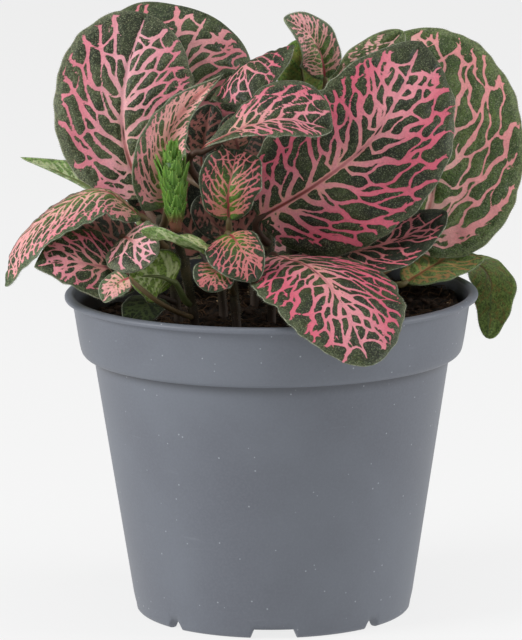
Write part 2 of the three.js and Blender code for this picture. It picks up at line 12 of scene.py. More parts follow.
import bpy
import numpy as np
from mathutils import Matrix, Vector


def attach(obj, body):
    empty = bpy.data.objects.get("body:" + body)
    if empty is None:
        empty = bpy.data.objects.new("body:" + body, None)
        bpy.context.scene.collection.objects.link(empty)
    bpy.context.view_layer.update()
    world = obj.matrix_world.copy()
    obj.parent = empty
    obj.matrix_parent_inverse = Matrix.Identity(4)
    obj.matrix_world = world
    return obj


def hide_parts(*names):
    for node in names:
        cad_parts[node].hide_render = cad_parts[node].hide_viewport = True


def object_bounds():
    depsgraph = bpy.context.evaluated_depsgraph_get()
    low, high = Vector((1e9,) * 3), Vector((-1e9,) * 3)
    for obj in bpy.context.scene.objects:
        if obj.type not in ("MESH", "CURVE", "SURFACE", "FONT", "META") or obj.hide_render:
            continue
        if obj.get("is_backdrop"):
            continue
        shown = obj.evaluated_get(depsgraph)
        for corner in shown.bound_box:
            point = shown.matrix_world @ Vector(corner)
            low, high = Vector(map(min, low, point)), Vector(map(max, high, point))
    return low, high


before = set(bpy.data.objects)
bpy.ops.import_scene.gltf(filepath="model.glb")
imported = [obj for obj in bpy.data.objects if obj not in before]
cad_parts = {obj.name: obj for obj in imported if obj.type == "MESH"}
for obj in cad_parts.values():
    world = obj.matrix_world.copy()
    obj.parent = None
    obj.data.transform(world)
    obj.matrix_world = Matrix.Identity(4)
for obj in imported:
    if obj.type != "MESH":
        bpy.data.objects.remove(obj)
frame_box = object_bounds()
MM = 0.001
print("frame box in metres:", frame_box)

# %% [markdown]
# A product picture of a pot is taken from some way off with a long lens, so that the rim and
# foot look nearly parallel. A camera could be turned by hand until it fits, but here its place
# is worked out from a height angle and a roll of a fraction of a degree, so that it can be
# changed one number at a time.

# %% Camera
CAMERA_DISTANCE = 1.4
CAMERA_ELEVATION = math.radians(10.6)
CAMERA_ROLL = math.radians(0.38)
CAMERA_TARGET = np.array([-0.00305, 0.0, 0.0853])
CAMERA_LENS = 270.9


def place_camera():
    """The camera looks along forward; right and up are turned about it by the roll."""
    forward = np.array([0, math.cos(CAMERA_ELEVATION), -math.sin(CAMERA_ELEVATION)])
    level = np.array([1.0, 0, 0])
    raised = np.array([0, math.sin(CAMERA_ELEVATION), math.cos(CAMERA_ELEVATION)])
    right = math.cos(CAMERA_ROLL) * level - math.sin(CAMERA_ROLL) * raised
    up = math.cos(CAMERA_ROLL) * raised + math.sin(CAMERA_ROLL) * level
    data = bpy.data.cameras.new("camera")
    data.lens = CAMERA_LENS
    data.sensor_width = 36
    camera = bpy.data.objects.new("camera", data)
    bpy.context.scene.collection.objects.link(camera)
    matrix = np.eye(4)
    matrix[:3, 0] = right
    matrix[:3, 1] = up
    matrix[:3, 2] = -forward
    matrix[:3, 3] = CAMERA_TARGET - CAMERA_DISTANCE * forward
    camera.matrix_world = matrix.T.tolist()
    bpy.context.scene.camera = camera


place_camera()
print("camera:", CAMERA_LENS, "mm lens at", CAMERA_DISTANCE, "m")

# %% [markdown]
# Materials come first to the eye, so their helpers come first here. Colours are chosen as on a
# screen but light adds up linearly, so one function turns them. Shader nodes could be added by
# hand in the editor: one small function does the same with a node's settings and links in one
# line, and the line shows what feeds what. A natural colour is built as a painter would, by
# thin tints over a ground, so a second function lays tints by their masks.


# %% Helpers
def colour(code):
    """The linear colour of an sRGB code such as #6f737a: each part c of 0 to 1 becomes
    ((c + 0.055) / 1.055) to the power 2.4, or c / 12.92 where it is under 0.04045."""
    parts = [int(code[i:i + 2], 16) / 255 for i in (1, 3, 5)]
    return tuple(c / 12.92 if c < 0.04045 else ((c + 0.055) / 1.055) ** 2.4 for c in parts) + (1,)


def node(tree, kind, inputs, out=0, **settings):
    """Adds a shader node with its settings and links, and returns one output. An input is given
    as a socket to link, a number, or a colour's code."""
    made = tree.nodes.new("ShaderNode" + kind)
    for name, value in settings.items():
        setattr(made, name, value)
    for name, value in inputs.items():
        if isinstance(value, bpy.types.NodeSocket):
            tree.links.new(value, made.inputs[name])
        else:
            made.inputs[name].default_value = colour(value) if isinstance(value, str) else value
    return made.outputs[out] if made.outputs else None


def new_material(name):
    """An empty material, its node tree, and the place on the object to colour by."""
    material = bpy.data.materials.new(name)
    material.use_nodes = True
    tree = material.node_tree
    tree.nodes.clear()
    return material, tree, node(tree, "TexCoord", {}, out=3)


SMOOTH = dict(interpolation_type="SMOOTHSTEP")
BLEND = dict(out=2, data_type="RGBA")
TINT = dict(out=2, data_type="RGBA", blend_type="MULTIPLY")


def layered(tree, body, layers):
    """Lays tints over a colour in turn. A layer is a tint and its masks, which are multiplied.
    A mask is a value, the two ends between which it goes by 3t^2 - 2t^3, and its share at each
    end: from 0 to 1 if they aren't given."""
    for tint, *masks in layers:
        share = None
        for value, low, high, *shares in masks:
            start, end = shares or (0.0, 1.0)
            mask = node(tree, "MapRange", {"Value": value, 1: low, 2: high, 3: start, 4: end},
                        **SMOOTH)
            share = mask if share is None else node(tree, "Math", {0: share, 1: mask},
                                                    operation="MULTIPLY")
        body = node(tree, "Mix", {0: share, 6: body, 7: tint}, **BLEND)
    return body


def finish_material(tree, inputs):
    """The Principled shader that every material ends in."""
    shader = node(tree, "BsdfPrincipled", inputs)
    node(tree, "OutputMaterial", {"Surface": shader})


print("the pot's grey in linear light:", np.round(colour("#6b7079")[:3], 3))

# %% [markdown]
# A plant has no straight sides, so its meshes have thousands of points. Loops over points would
# be slow, and modelling tools such as extrude would need each step redone at every change, so
# points are worked out as whole arrays, in millimetres, and handed to a mesh at one go. Values
# that a material needs, such as the distance to a vein, go along as attributes of the points.


# %% Mesh helpers
def mesh_object(name, points, faces, material, attributes=None, smooth=True):
    """An object from an array of points in millimetres and arrays of quads or triangles, in
    groups that each have one number of corners."""
    mesh = bpy.data.meshes.new(name)
    groups = [np.asarray(group) for group in faces if len(group)]
    corners = np.concatenate([group.ravel() for group in groups])
    sizes = np.concatenate([np.full(len(group), group.shape[1]) for group in groups])
    mesh.vertices.add(len(points))
    mesh.vertices.foreach_set("co", (np.asarray(points) * MM).astype(np.float32).ravel())
    mesh.loops.add(len(corners))
    mesh.loops.foreach_set("vertex_index", corners.astype(np.int32))
    mesh.polygons.add(len(sizes))
    starts = np.concatenate([[0], np.cumsum(sizes)[:-1]])
    mesh.polygons.foreach_set("loop_start", starts.astype(np.int32))
    mesh.polygons.foreach_set("use_smooth", np.full(len(sizes), smooth))
    for key, values in (attributes or {}).items():
        layer = mesh.attributes.new(key, "FLOAT", "POINT")
        layer.data.foreach_set("value", np.asarray(values, dtype=np.float32))
    mesh.update(calc_edges=True)
    mesh.validate()
    mesh.materials.append(material)
    made = bpy.data.objects.new(name, mesh)
    bpy.context.scene.collection.objects.link(made)
    return made


def joined(parts):
    """Several (points, faces, attributes) as one, the indices moved along."""
    points, faces, attributes, first = [], [], {}, 0
    for part_points, part_faces, part_attributes in parts:
        points.append(part_points)
        faces += [np.asarray(group) + first for group in part_faces if len(group)]
        for key, values in part_attributes.items():
            attributes.setdefault(key, []).append(values)
        first += len(part_points)
    return np.concatenate(points), faces, {k: np.concatenate(v) for k, v in attributes.items()}


def unit(vectors):
    """Each row divided by its length."""
    return vectors / np.maximum(np.linalg.norm(vectors, axis=-1, keepdims=True), 1e-12)


def smoothstep(low, high, value):
    """0 under low, 1 over high, and 3t^2 - 2t^3 between them."""
    t = np.clip((value - low) / (high - low), 0, 1)
    return t * t * (3 - 2 * t)


def waves(points, wavelength, rng, count=6):
    """Smooth noise of about -1 to 1: the mean of sines in random directions and phases."""
    total = np.zeros(points.shape[:-1])
    for _ in range(count):
        direction = unit(rng.normal(size=points.shape[-1]))
        length = wavelength * rng.uniform(0.6, 1.6)
        total += np.sin(points @ direction * (2 * math.pi / length) + rng.uniform(0, 6.28))
    return total / math.sqrt(count)


print("half of a smooth step, at a quarter of its way:", smoothstep(0, 1, 0.25))

# %% [markdown]
# Ten stems stand in the soil and carry the leaves. A plant could be grown by rules from a seed,
# but then it would be another plant, so each stem has its own line of points, from the soil up.

# %% Stem lines
STEMS = {
    "left": [[-27, -6, 88], [-29, -6, 102], [-32, -5, 117]],
    "spike": [[-22, -19, 88], [-24, -21, 101], [-27, -25, 115]],
    "front": [[-10, -20, 88], [-11, -20, 101], [-12, -20, 115]],
    "centre": [[0, -4, 88], [0, -5, 99], [-1, -4, 112]],
    "tall": [[5, 8, 88], [6, 9, 115], [7, 8, 146]],
    "inner": [[-14, 4, 88], [-16, 2, 108], [-18, -1, 127]],
    "right": [[31, 4, 92], [31, 5, 96], [31, 6, 101]],
    "back": [[-5, 22, 88], [-5, 23, 98], [-5, 23, 112]],
    "back_left": [[-24, 16, 88], [-25, 18, 98], [-26, 19, 110]],
    "back_right": [[17, 20, 88], [17, 20, 104], [16, 17, 122]],
}
print("stems:", len(STEMS), "highest at", max(line[-1][2] for line in STEMS.values()), "mm")

# %% [markdown]
# Forty leaves grow on them, and no two lie alike, so each has its own plan too. It leaves its
# stem at a height and has the points of its midrib, the widths of its left and right half, and
# the way its face looks at foot and tip. Then comes what sets it apart: how far the halves are
# folded up and curled on, the waves' height and count, how blunt foot and tip are, its look,
# and how bold, coarse or spread its veins are. Leaves deep inside are hidden and made plainer,
# and a few are grown wider, so that no light comes through the middle.


# %% Leaf plans
def plan(stem, at, rib, halves, face, **more):
    """A leaf's plan in millimetres and degrees. What isn't given is as most leaves have it,
    and one value stands for both halves or both ends."""
    made = dict(fold=0, curl=0, waves=[0.4, 5], ends=[0.5, 0.6], look="mature", hidden=False,
                bold=1.0, coarse=1.0, grown=1.0)
    made.update(stem=stem, at=at, rib=rib, halves=halves, face=face, **more)
    for key, depth in (("halves", 1), ("fold", 1), ("curl", 1), ("face", 2)):
        if np.ndim(made[key]) < depth:
            made[key] = [made[key], made[key]]
    return made


LEAVES = {
    "upper_left": plan("left", 114, [[-37, 2, 121], [-42.3, 4, 138], [-41.7, 8, 155.5],
        [-35.8, 16, 173.2]], [20, 21.5], [[-0.1, -1, 0.3], [0, -1, 0.4]], fold=8, curl=[-10, -20],
        waves=[0.7, 7], ends=[0.56, 0.5], bold=0.95),
    "top_left": plan("inner", 124, [[-30, 12, 134], [-27, 16, 149], [-24, 20, 161],
        [-18, 27, 171.5]], [27, 22], [[-0.2, -1, 0.3], [-0.1, -1, 0.4]], fold=[-3, -10],
        curl=[-20, -30], waves=[0.8, 7], ends=[0.62, 0.34], look="olive", coarse=1.12, grown=1.05),
    "folded": plan("left", 114, [[-30, -12, 121], [-31, -15, 133], [-26.5, -10, 146],
        [-13, -2, 158]], [13, 9], [[0.1, -1, 0.2], [0.4, -0.8, 0.5]], fold=[35, 50], curl=10,
        waves=[0.6, 5], ends=[0.5, 1.2], look="painted_light_young", bold=0.95, spread=[54, 24]),
    "top_centre": plan("tall", 142, [[-3, 14, 151], [-6, 8, 158], [-7, -1, 160], [-7, -7, 157],
        [-5, -11, 151]], 15, [[-0.45, 0.3, 0.88], [-0.3, -0.75, 0.55]], fold=[0, -10],
        curl=[-10, -20], waves=[0.5, 5], ends=[0.5, 0.55], look="deep", bold=0.66),
    "curled_tip": plan("tall", 142, [[16, 6, 155], [14.5, 5, 163], [10.5, 1, 169.5], [4, -4, 174]],
        [7.5, 6.5], [[0.2, -1, 0.2], [0.3, -0.8, 0.5]], fold=10, curl=[0, -10], ends=[0.5, 0.7],
        look="young", bold=0.48),
    "backlit": plan("tall", 134, [[10, 13, 144], [10, 13, 151], [9, 12, 159], [8, 10, 166]], 8.5,
        [[0, 1, 0.2], [0, 1, 0.3]], fold=10, curl=20, waves=[0.3, 3], ends=[0.5, 0.7],
        look="translucent"),
    "pointed": plan("inner", 124, [[-21, -20, 138], [-9, -24, 144.5], [4, -27, 148],
        [17.5, -28, 145]], [13, 10], [0, -0.3, 0.95], fold=[45, 5], curl=[-20, -10],
        ends=[1.7, 0.7], look="deep", bold=0.86),
    "large_right": plan("centre", 109, [[-3.5, -11, 117], [13.5, -13.5, 127.5], [29, -12, 140],
        [38, -6, 154], [43.5, 3, 166]], [21.5, 24], [[0.15, -1, 0.25], [0.1, -1, 0.4]], fold=[6, 4],
        curl=[0, -22], waves=[0.8, 7], ends=[0.44, 0.68], look="deep", bold=0.93, coarse=1.16),
    "back_tall_right": plan("right", 98, [[40, 12, 103], [47, 16, 118], [47, 22, 141],
        [35, 32, 163.8]], [34, 27], [[0.1, -1, 0.35], [0, -1, 0.4]], curl=-10, waves=[0.9, 7],
        ends=[0.63, 0.46], look="bright", bold=0.8, coarse=1.25),
    "under_large": plan("centre", 100, [[8, -7, 105], [23, -9, 107], [37, -7, 110], [51, -1, 117]],
        14, [[-0.1, -0.6, 0.8], [-0.2, -0.6, 0.8]], curl=[0, 20], waves=[0.5, 5], ends=[0.5, 0.7],
        look="painted_half_shade", bold=0.72),
    "front": plan("centre", 100, [[1, -18, 107.5], [12, -38, 106.5], [20.5, -57, 99],
        [27, -68.5, 85]], [22, 20], [[0.3, -0.5, 0.8], [0.35, -0.85, 0.5]], curl=[-10, -20],
        waves=[0.6, 7], ends=[0.43, 0.6], look="deep", bold=1.05),
    "centre_oval": plan("front", 112, [[-12, -26, 119], [-12, -28, 128], [-10.5, -26, 134.5],
        [-9.5, -21, 138.5]], 9, [[-0.05, -1, 0.2], [0, -0.9, 0.5]], fold=15, curl=-10,
        waves=[0.3, 5], ends=[0.5, 0.55], look="heart", bold=0.68),
    "centre_low": plan("front", 107, [[-12, -31, 116], [-10, -37, 115], [-7, -42.5, 111],
        [-4, -45.5, 105]], [6, 10], [[0, -0.75, 0.65], [0.1, -1, 0.3]], fold=5, curl=-10,
        look="heart", bold=0.7),
    "left_arch": plan("left", 108, [[-37, -21, 119.5], [-48, -24, 127.5], [-61.5, -28, 122.5],
        [-72.5, -30, 112], [-75.5, -30, 101]], [12, 13], [[-0.25, -0.25, 0.93], [-0.8, -0.3, 0.5]],
        fold=[-10, -12], curl=-15, ends=[0.5, 0.7], look="young", bold=0.68, spread=[52, 22]),
    "left_low": plan("left", 99, [[-38, -26, 104], [-48, -32, 107], [-59, -36, 109.2],
        [-67, -38, 108]], [10, 13], [[0, -0.75, 0.66], [-0.2, -0.75, 0.66]], curl=-10,
        ends=[0.5, 0.95], look="deep"),
    "left_inner": plan("left", 104, [[-42, -26, 114.5], [-40, -31, 114.5], [-37, -35, 113],
        [-32, -38, 111]], [8, 10], [[-0.2, -0.75, 0.6], [-0.1, -0.9, 0.4]], waves=[0.3, 3]),
    "left_lobe": plan("spike", 90, [[-40, -42, 105.5], [-43, -44, 104.5], [-45.5, -46, 102.5],
        [-47, -48, 99.5]], 4, [[-0.2, -0.8, 0.5], [-0.2, -0.9, 0.4]], waves=[0.2, 3],
        ends=[0.5, 0.7], via=[-31, -41, 96], look="young"),
    "pale_under": plan("spike", 94, [[-28, -26, 101.5], [-31, -30, 103.5], [-36, -34, 104.5],
        [-40, -37, 104]], 8, [0.1, 0.9, -0.1], waves=[0.3, 3], look="pale", bold=0.9),
    "curled_pale": plan("front", 101, [[-18, -26.5, 111.5], [-23.5, -32.5, 113],
        [-28.5, -42, 116.5], [-36.5, -44, 119.5]], 6.5, [[0, -0.7, 0.7], [0.3, 0.8, 0.5]], curl=10,
        waves=[0.2, 3], ends=[0.5, 0.7], look="wan"),
    "front_small": plan("front", 97, [[-14, -38, 108], [-15.5, -42, 107], [-17, -45, 105],
        [-18, -46, 102]], 6, [[0, -0.8, 0.6], [0, -0.95, 0.3]], waves=[0.2, 3], look="heart",
        bold=0.6),
    "left_tip": plan("left", 104, [[-46, 9, 121], [-54, 10, 124.5], [-62, 11, 128], [-73, 11, 132]],
        7, [0, 0.6, 0.8], fold=10, curl=10, waves=[0.1, 3], ends=[0.5, 1.1], look="wan"),
    "right_droop": plan("right", 94, [[39, 5, 95], [48, 13, 99], [56, 21, 101], [65, 25, 93],
        [64.5, 23, 74.8]], [10.5, 11], [[0, -0.3, 1], [0.6, 0.8, 0.1]], fold=[10, 0], curl=-10,
        ends=[0.5, 0.5], look="droop", bold=0.65),
    "inner_upper": plan("tall", 124, [[-19, -5, 134], [-19, -4, 139], [-18, -3, 144],
        [-17, -2, 149]], 6, [0, -1, 0.1], fold=10, waves=[0.2, 3], look="painted_shade"),
    "inner_small": plan("tall", 128, [[-9, -8, 136], [-10, -8, 140], [-10, -7, 144],
        [-10, -6, 147]], 4.5, [0, -1, 0.1], fold=10, waves=[0.2, 3], look="painted_shade", grown=1.12),
    "inner_low": plan("centre", 106, [[-12, -8, 111], [-16, -8, 115], [-19, -7, 119],
        [-20.5, -5.5, 123]], 5, [0, -0.9, 0.4], waves=[0.2, 3], look="painted_shade", hidden=True),
    "in_pot": plan("left", 92, [[-33, -16, 95], [-35, -22, 95], [-38, -27, 93], [-41, -30, 90]], 6,
        [[0, -0.5, 0.87], [0, -0.6, 0.8]], waves=[0.2, 3], look="painted_deep_shade"),
    "back_left_high": plan("back_left", 107, [[-32, 24, 114], [-39, 31, 126], [-45, 40, 131],
        [-50, 51, 129]], 17, [[0.2, 0, 1], [-0.2, 0.4, 0.9]], fold=4, curl=-15, waves=[0.7, 5],
        ends=[0.5, 0.55], hidden=True),
    "back_centre": plan("back", 107, [[-5, 33, 115], [-6, 42, 122], [-6, 54, 123], [-6, 66, 114]],
        17, [[0, -0.3, 1], [0, 0.6, 0.8]], fold=4, curl=-15, waves=[0.7, 5], ends=[0.5, 0.55],
        hidden=True),
    "back_right_high": plan("back_right", 114, [[25, 27, 121], [30, 36, 129], [35, 47, 131],
        [39, 58, 124]], 17, [[0.1, -0.3, 1], [0.2, 0.5, 0.85]], fold=4, curl=-15, waves=[0.7, 5],
        ends=[0.5, 0.55], hidden=True),
    "back_right_side": plan("back_right", 100, [[29, 26, 103], [38, 33, 108], [46, 41, 106],
        [53, 49, 96]], 13, [[0, 0, 1], [0.5, 0.5, 0.7]], curl=-15, waves=[0.5, 5], hidden=True),
    "back_left_side": plan("back_left", 98, [[-33, 20, 101], [-42, 26, 105], [-51, 34, 103],
        [-57, 42, 94]], 13, [[0, 0, 1], [-0.5, 0.5, 0.7]], curl=-15, waves=[0.5, 5], hidden=True),
    "back_low_left": plan("back", 98, [[-13, 31, 101], [-20, 42, 106], [-26, 54, 103],
        [-31, 64, 91]], 15, [[0, 0, 1], [-0.2, 0.8, 0.6]], curl=-15, waves=[0.6, 5], grown=1.35,
        hidden=True),
    "back_low_right": plan("back", 96, [[5, 31, 99], [12, 43, 104], [17, 56, 101], [21, 68, 90]],
        15, [[0, 0, 1], [0.2, 0.8, 0.6]], curl=-15, waves=[0.6, 5], hidden=True),
    "behind_top_left": plan("back_left", 105, [[-20, 26, 124], [-21, 33, 136], [-24, 41, 144],
        [-30, 49, 147]], [10, 9.5], [[0, -0.4, 0.9], [-0.2, 0.3, 0.9]], fold=5, curl=-10,
        waves=[0.5, 5], hidden=True),
    "behind_large": plan("back_right", 120, [[20, 17.2, 130], [22.5, 18, 143], [29, 19.2, 156],
        [39, 21, 167]], 9, [[0, -1, 0.3], [0, -1, 0.35]], fold=5, curl=-10, waves=[0.5, 5],
        look="bright", bold=0.8, hidden=True),
    "behind_centre": plan("tall", 120, [[1, 20, 126], [-2, 28, 135], [-4.5, 37, 140],
        [-6, 47, 139]], [8, 8.5], [[0, -0.5, 0.9], [0, 0.3, 0.9]], fold=5, curl=-10, waves=[0.5, 5],
        look="painted_shade", grown=1.15, hidden=True),
    "left_mid": plan("left", 100, [[-37, -9, 106], [-44, -11, 111], [-51, -13, 114],
        [-59, -15, 114]], [8, 9], [0, -0.8, 0.6], curl=-15, look="painted_shade", grown=1.12, hidden=True),
    "core_right": plan("tall", 104, [[14, 6, 114], [21, 5, 123], [28, 5, 128], [36, 6, 130]], 11,
        [[-0.3, -0.3, 0.9], [0.1, -0.3, 0.9]], fold=5, curl=-10, look="painted_shade", hidden=True),
    "core_right_low": plan("tall", 95, [[-1, 10, 101], [-6, 12, 107], [-9, 13, 113],
        [-11, 13, 119]], 8, [0, -0.9, 0.4], curl=-10, look="painted_shade", hidden=True),
    "core_left": plan("inner", 97, [[-20, 12, 103], [-25, 14, 110], [-32, 15, 118],
        [-41, 15, 125.5]], [8.5, 13.5], [0, -0.9, 0.4], fold=5, curl=-10, waves=[0.3, 3],
        ends=[0.5, 0.45], look="painted_shade", grown=1.2, hidden=True),
}
print("leaves:", len(LEAVES), "of them hidden:", sum(leaf["hidden"] for leaf in LEAVES.values()))

# %% [markdown]
# A nerve plant's leaf is an oval blade with a stalk. It is folded a little along its midrib,
# its halves curl on towards the edge, and the edge is waved. Such a leaf could be sculpted, or
# bent from a flat sheet by modifiers, but forty leaves differ only in a few numbers. So one
# rule makes them all: a smooth line through the points of the rib from foot to tip, and across
# it each half spread out to its width, folded, curled and waved. The frame's leaves use the
# same rule, so a fine leaf lies where the plain one was.

# %% Leaf surface
def curve_points(points, t):
    """The centripetal Catmull-Rom line through the points at each t of 0 to 1. Between two
    points it is the cubic whose slopes come from the neighbours, each gap counted as the
    square root of its length."""
    points = np.array(points, dtype=float)
    ends = [2 * points[0] - points[1]], [2 * points[-1] - points[-2]]
    points = np.concatenate([ends[0], points, ends[1]])
    place = np.clip(t, 0, 1) * (len(points) - 3)
    first = np.minimum(place.astype(int), len(points) - 4)
    w = (place - first)[:, None]
    a, b, c, d = (points[first + k] for k in range(4))
    gap_ab, gap_bc, gap_cd = (np.sqrt(np.linalg.norm(q - p, axis=1))[:, None]
                              for p, q in ((a, b), (b, c), (c, d)))
    slope_b = ((b - a) / gap_ab - (c - a) / (gap_ab + gap_bc) + (c - b) / gap_bc) * gap_bc
    slope_c = ((c - b) / gap_bc - (d - b) / (gap_bc + gap_cd) + (d - c) / gap_cd) * gap_bc
    cubic = 2 * b - 2 * c + slope_b + slope_c
    square = -3 * b + 3 * c - 2 * slope_b - slope_c
    return b + slope_b * w + square * w ** 2 + cubic * w ** 3


def curve_directions(points, t):
    """The unit direction of the same line."""
    step = 1e-4
    before = curve_points(points, np.maximum(t - step, 0))
    return unit(curve_points(points, np.minimum(t + step, 1)) - before)


def half_widths(leaf, u, hand):
    """Half a leaf's width at u: its greatest width times u^low (1 - u)^high, scaled to 1."""
    low, high = leaf["ends"]
    peak = low / (low + high)
    top = peak ** low * (1 - peak) ** high
    widest = np.where(hand < 0, leaf["halves"][0], leaf["halves"][1])
    return widest * u ** low * (1 - u) ** high / top


def leaf_surface(leaf, u, v):
    """Points and outward normals at u along the rib and v across, from -1 at the left edge to
    1 at the right. Across, the turn is fold + curl |v|, so the way out is the integral of its
    cosine and the lift the integral of its sine, both times the half width; the edge's wave is
    height v^2 sin(pi (count u + 0.4 hand)) sin(pi u)."""
    point = curve_points(leaf["rib"], u)
    along = curve_directions(leaf["rib"], u)
    foot_face, tip_face = (unit(np.array(face, dtype=float)) for face in leaf["face"])
    facing = foot_face * (1 - u[:, None]) + tip_face * u[:, None]
    facing = unit(facing - along * np.sum(facing * along, axis=1, keepdims=True))
    side = np.cross(along, facing)
    hand = np.where(v < 0, -1.0, 1.0)
    half = half_widths(leaf, u, hand)
    reach = np.abs(v)
    fold = np.radians(np.where(v < 0, *leaf["fold"]))
    curl = np.radians(np.where(v < 0, *leaf["curl"]))
    curl = np.where(curl == 0, 1e-4, curl)
    turn = fold + curl * reach
    out = (np.sin(turn) - np.sin(fold)) / curl
    lift = (np.cos(fold) - np.cos(turn)) / curl
    height, count = leaf["waves"]
    ripple = height * reach ** 2 * np.sin(math.pi * (count * u + 0.4 * hand))
    rise = half * lift + ripple * np.sin(math.pi * u)
    bank = turn * smoothstep(0, 0.12, reach)  # the fold is rounded over the rib
    normal = facing * np.cos(bank)[:, None] - side * (hand * np.sin(bank))[:, None]
    return point + side * (hand * half * out)[:, None] + facing * rise[:, None], normal


largest = LEAVES["large_right"]
ends_apart = curve_points(largest["rib"], np.array([0.0, 1.0]))
print("largest leaf, foot to tip in mm:", np.linalg.norm(ends_apart[1] - ends_apart[0]).round(1))

# %% [markdown]
# The net of pink veins gives the plant its name. Side veins leave the midrib in turn on either
# hand and bend towards the tip. Noise could stand in for them, but it has no direction. So the
# net is grown on the leaf laid flat, in millimetres, x across from the rib and y along it, and
# the side veins come first: each walks out from the rib in small steps until it nears the edge.


# %% Side veins
LONGEST_WALK = 80
SMALLEST_ANGLE = 0.12
LOWEST_VEIN_AT = 1.6


def walk(start, angle, bend, width_at, margin, step=1.0):
    """A vein's points from the rib outwards: each step goes on by the angle from the leaf's
    own direction, which shrinks by bend, until the margin is near."""
    points = [np.array(start, dtype=float)]
    hand = 1.0 if angle > 0 else -1.0
    while len(points) < LONGEST_WALK:
        x, y = points[-1] + step * np.array([math.sin(angle), math.cos(angle)])
        if abs(x) > width_at(y, hand) - margin and len(points) > 2:
            break
        points.append(np.array([x, y]))
        angle -= hand * bend * step
        if abs(angle) < SMALLEST_ANGLE:
            angle = SMALLEST_ANGLE * hand
    return np.array(points)


def resampled(line, count=24):
    """The line with its points evenly spread over its length."""
    steps = np.linalg.norm(np.diff(line, axis=0), axis=1)
    run = np.concatenate([[0], np.cumsum(steps)])
    even = np.linspace(0, run[-1], count)
    return np.stack([np.interp(even, run, line[:, k]) for k in range(2)], 1)


def fan_of_veins(hand, length, width_at, look, rng):
    """The side veins on one hand, from the lowest to the rib's own upper part, each as the
    same number of points. They leave the rib at an angle that shrinks towards the tip."""
    pairs, margin = look["pairs"], look["margin"]
    lowest = hand * math.radians(look["spread"][0] + 18)
    fan = [walk((0, LOWEST_VEIN_AT), lowest, 0.006, width_at, margin)]
    for k in range(pairs):
        share = k / pairs
        y = length * (0.03 + 0.80 * share ** 1.05) + (0.4 * length / pairs if hand > 0 else 0)
        y += rng.uniform(-0.08, 0.08) * length / pairs
        spread = look["spread"][0] * (1 - share) + look["spread"][1] * share
        spread = math.radians(spread + rng.uniform(-3, 3))
        fan.append(walk((0, y), hand * spread, look["bend"], width_at, margin))
    fan = [resampled(line) for line in fan if len(line) > 3]
    top = np.linspace(fan[-1][0, 1], length * 0.94, len(fan[-1]))
    return np.array(fan + [np.stack([0 * top, top], 1)])


trial = walk((0, 0), math.radians(68), 0.014, lambda y, hand: 20, margin=1)
print("a side vein's steps in a leaf 40 mm wide:", len(trial) - 1)

# %% [markdown]
# Between the side veins a finer net has to grow, which follows them wherever they go. On paper
# one would just draw it in. In code a spot of the net is called by two numbers instead, so that
# every rule can be said simply: s counts the side veins and t runs from the rib to the edge. A
# vein keeps to its s, but it is drawn over a little towards each vein that joins it.


# %% Spots of the net
BEND_REACH = 1.9


def spot(fan, s, t):
    """The flat point at s and t, mixed from the nearest points of the two nearest veins."""
    s, t = np.broadcast_arrays(np.asarray(s, float), np.asarray(t, float))
    count = fan.shape[1] - 1
    s, t = np.clip(s, 0, len(fan) - 1), np.clip(t, 0, 1) * count
    i, j = np.minimum(s.astype(int), len(fan) - 2), np.minimum(t.astype(int), count - 1)
    a, b = (s - i)[..., None], (t - j)[..., None]
    low = fan[i, j] * (1 - b) + fan[i, j + 1] * b
    high = fan[i + 1, j] * (1 - b) + fan[i + 1, j + 1] * b
    return low * (1 - a) + high * a


def gap(half, low, high, t):
    """How far two veins are apart at t."""
    return np.linalg.norm(spot(half["fan"], high["s"], t) - spot(half["fan"], low["s"], t), axis=-1)


def bent(half, vein, t):
    """The vein's s at t: each joint pulls it by zigzag times exp(-(d / BEND_REACH)^2), where d
    is the way along the vein to the joint."""
    t = np.asarray(t, float)
    s = np.full(t.shape, float(vein["s"]))
    beside = (spot(half["fan"], vein["s"] + way, t) for way in (0.05, -0.05))
    across = np.linalg.norm(next(beside) - next(beside), axis=-1) / 0.1
    for place, way in vein["bends"]:
        pull = half["look"]["zigzag"] * np.exp(-((t - place) * half["reach"] / BEND_REACH) ** 2)
        s = s + way * pull / np.maximum(across, 1.0)
    return s


def turned(vector, angle):
    """A flat vector turned by an angle."""
    return np.array([vector[0] * math.cos(angle) - vector[1] * math.sin(angle),
                     vector[0] * math.sin(angle) + vector[1] * math.cos(angle)])


square = np.array([[[0.0, 0.0], [4.0, 0.0]], [[0.0, 4.0], [4.0, 4.0]]])
print("the middle of a field 4 mm wide:", spot(square, 0.5, 0.5))

# %% [markdown]
# In a real leaf the fields between veins are of one size, whatever the leaf's width. Cells of
# noise would be even too, but real fields are drawn out along the side veins. So where two
# veins lie too far apart, a new one forks off between them, and this is done once more for the
# two new fields. In a field that is narrow enough, cross veins tie its sides at a slant.


# %% Fields
EDGE_OF_NET = 0.97
SLANT = 0.38
FORK_BEFORE = 0.55
LAST_SPLIT = 0.16


def add_vein(half, s, start, end, radius, root=None):
    """Notes a vein that runs at s from start to end and joins its root, a host and its t."""
    vein = {"s": s, "start": start, "end": end, "radius": radius, "root": root, "bends": []}
    half["veins"].append(vein)
    return vein


def tie(half, low, high, start, end, radius, phase, rng):
    """Cross veins between two veins, slanting to and fro in turn."""
    look, reach = half["look"], half["reach"]
    steps = int(max(0, (end - start) * reach / look["rung"] + 0.4 + 0.3 * phase))
    for k in range(steps):
        place = k + 0.35 + 0.4 * phase + rng.uniform(-0.14, 0.14)
        t = start + (end - start) * place / steps
        width = float(gap(half, low, high, t))
        if width < look["narrow"] or t > EDGE_OF_NET or rng.random() < look["skip"]:
            continue
        slant = SLANT * width / reach * (1 if (k + int(2 * phase)) % 2 else -1)
        low["bends"].append((t - slant, 1))
        high["bends"].append((t + slant, -1))
        half["rungs"].append((low, t - slant, high, t + slant, radius, t))


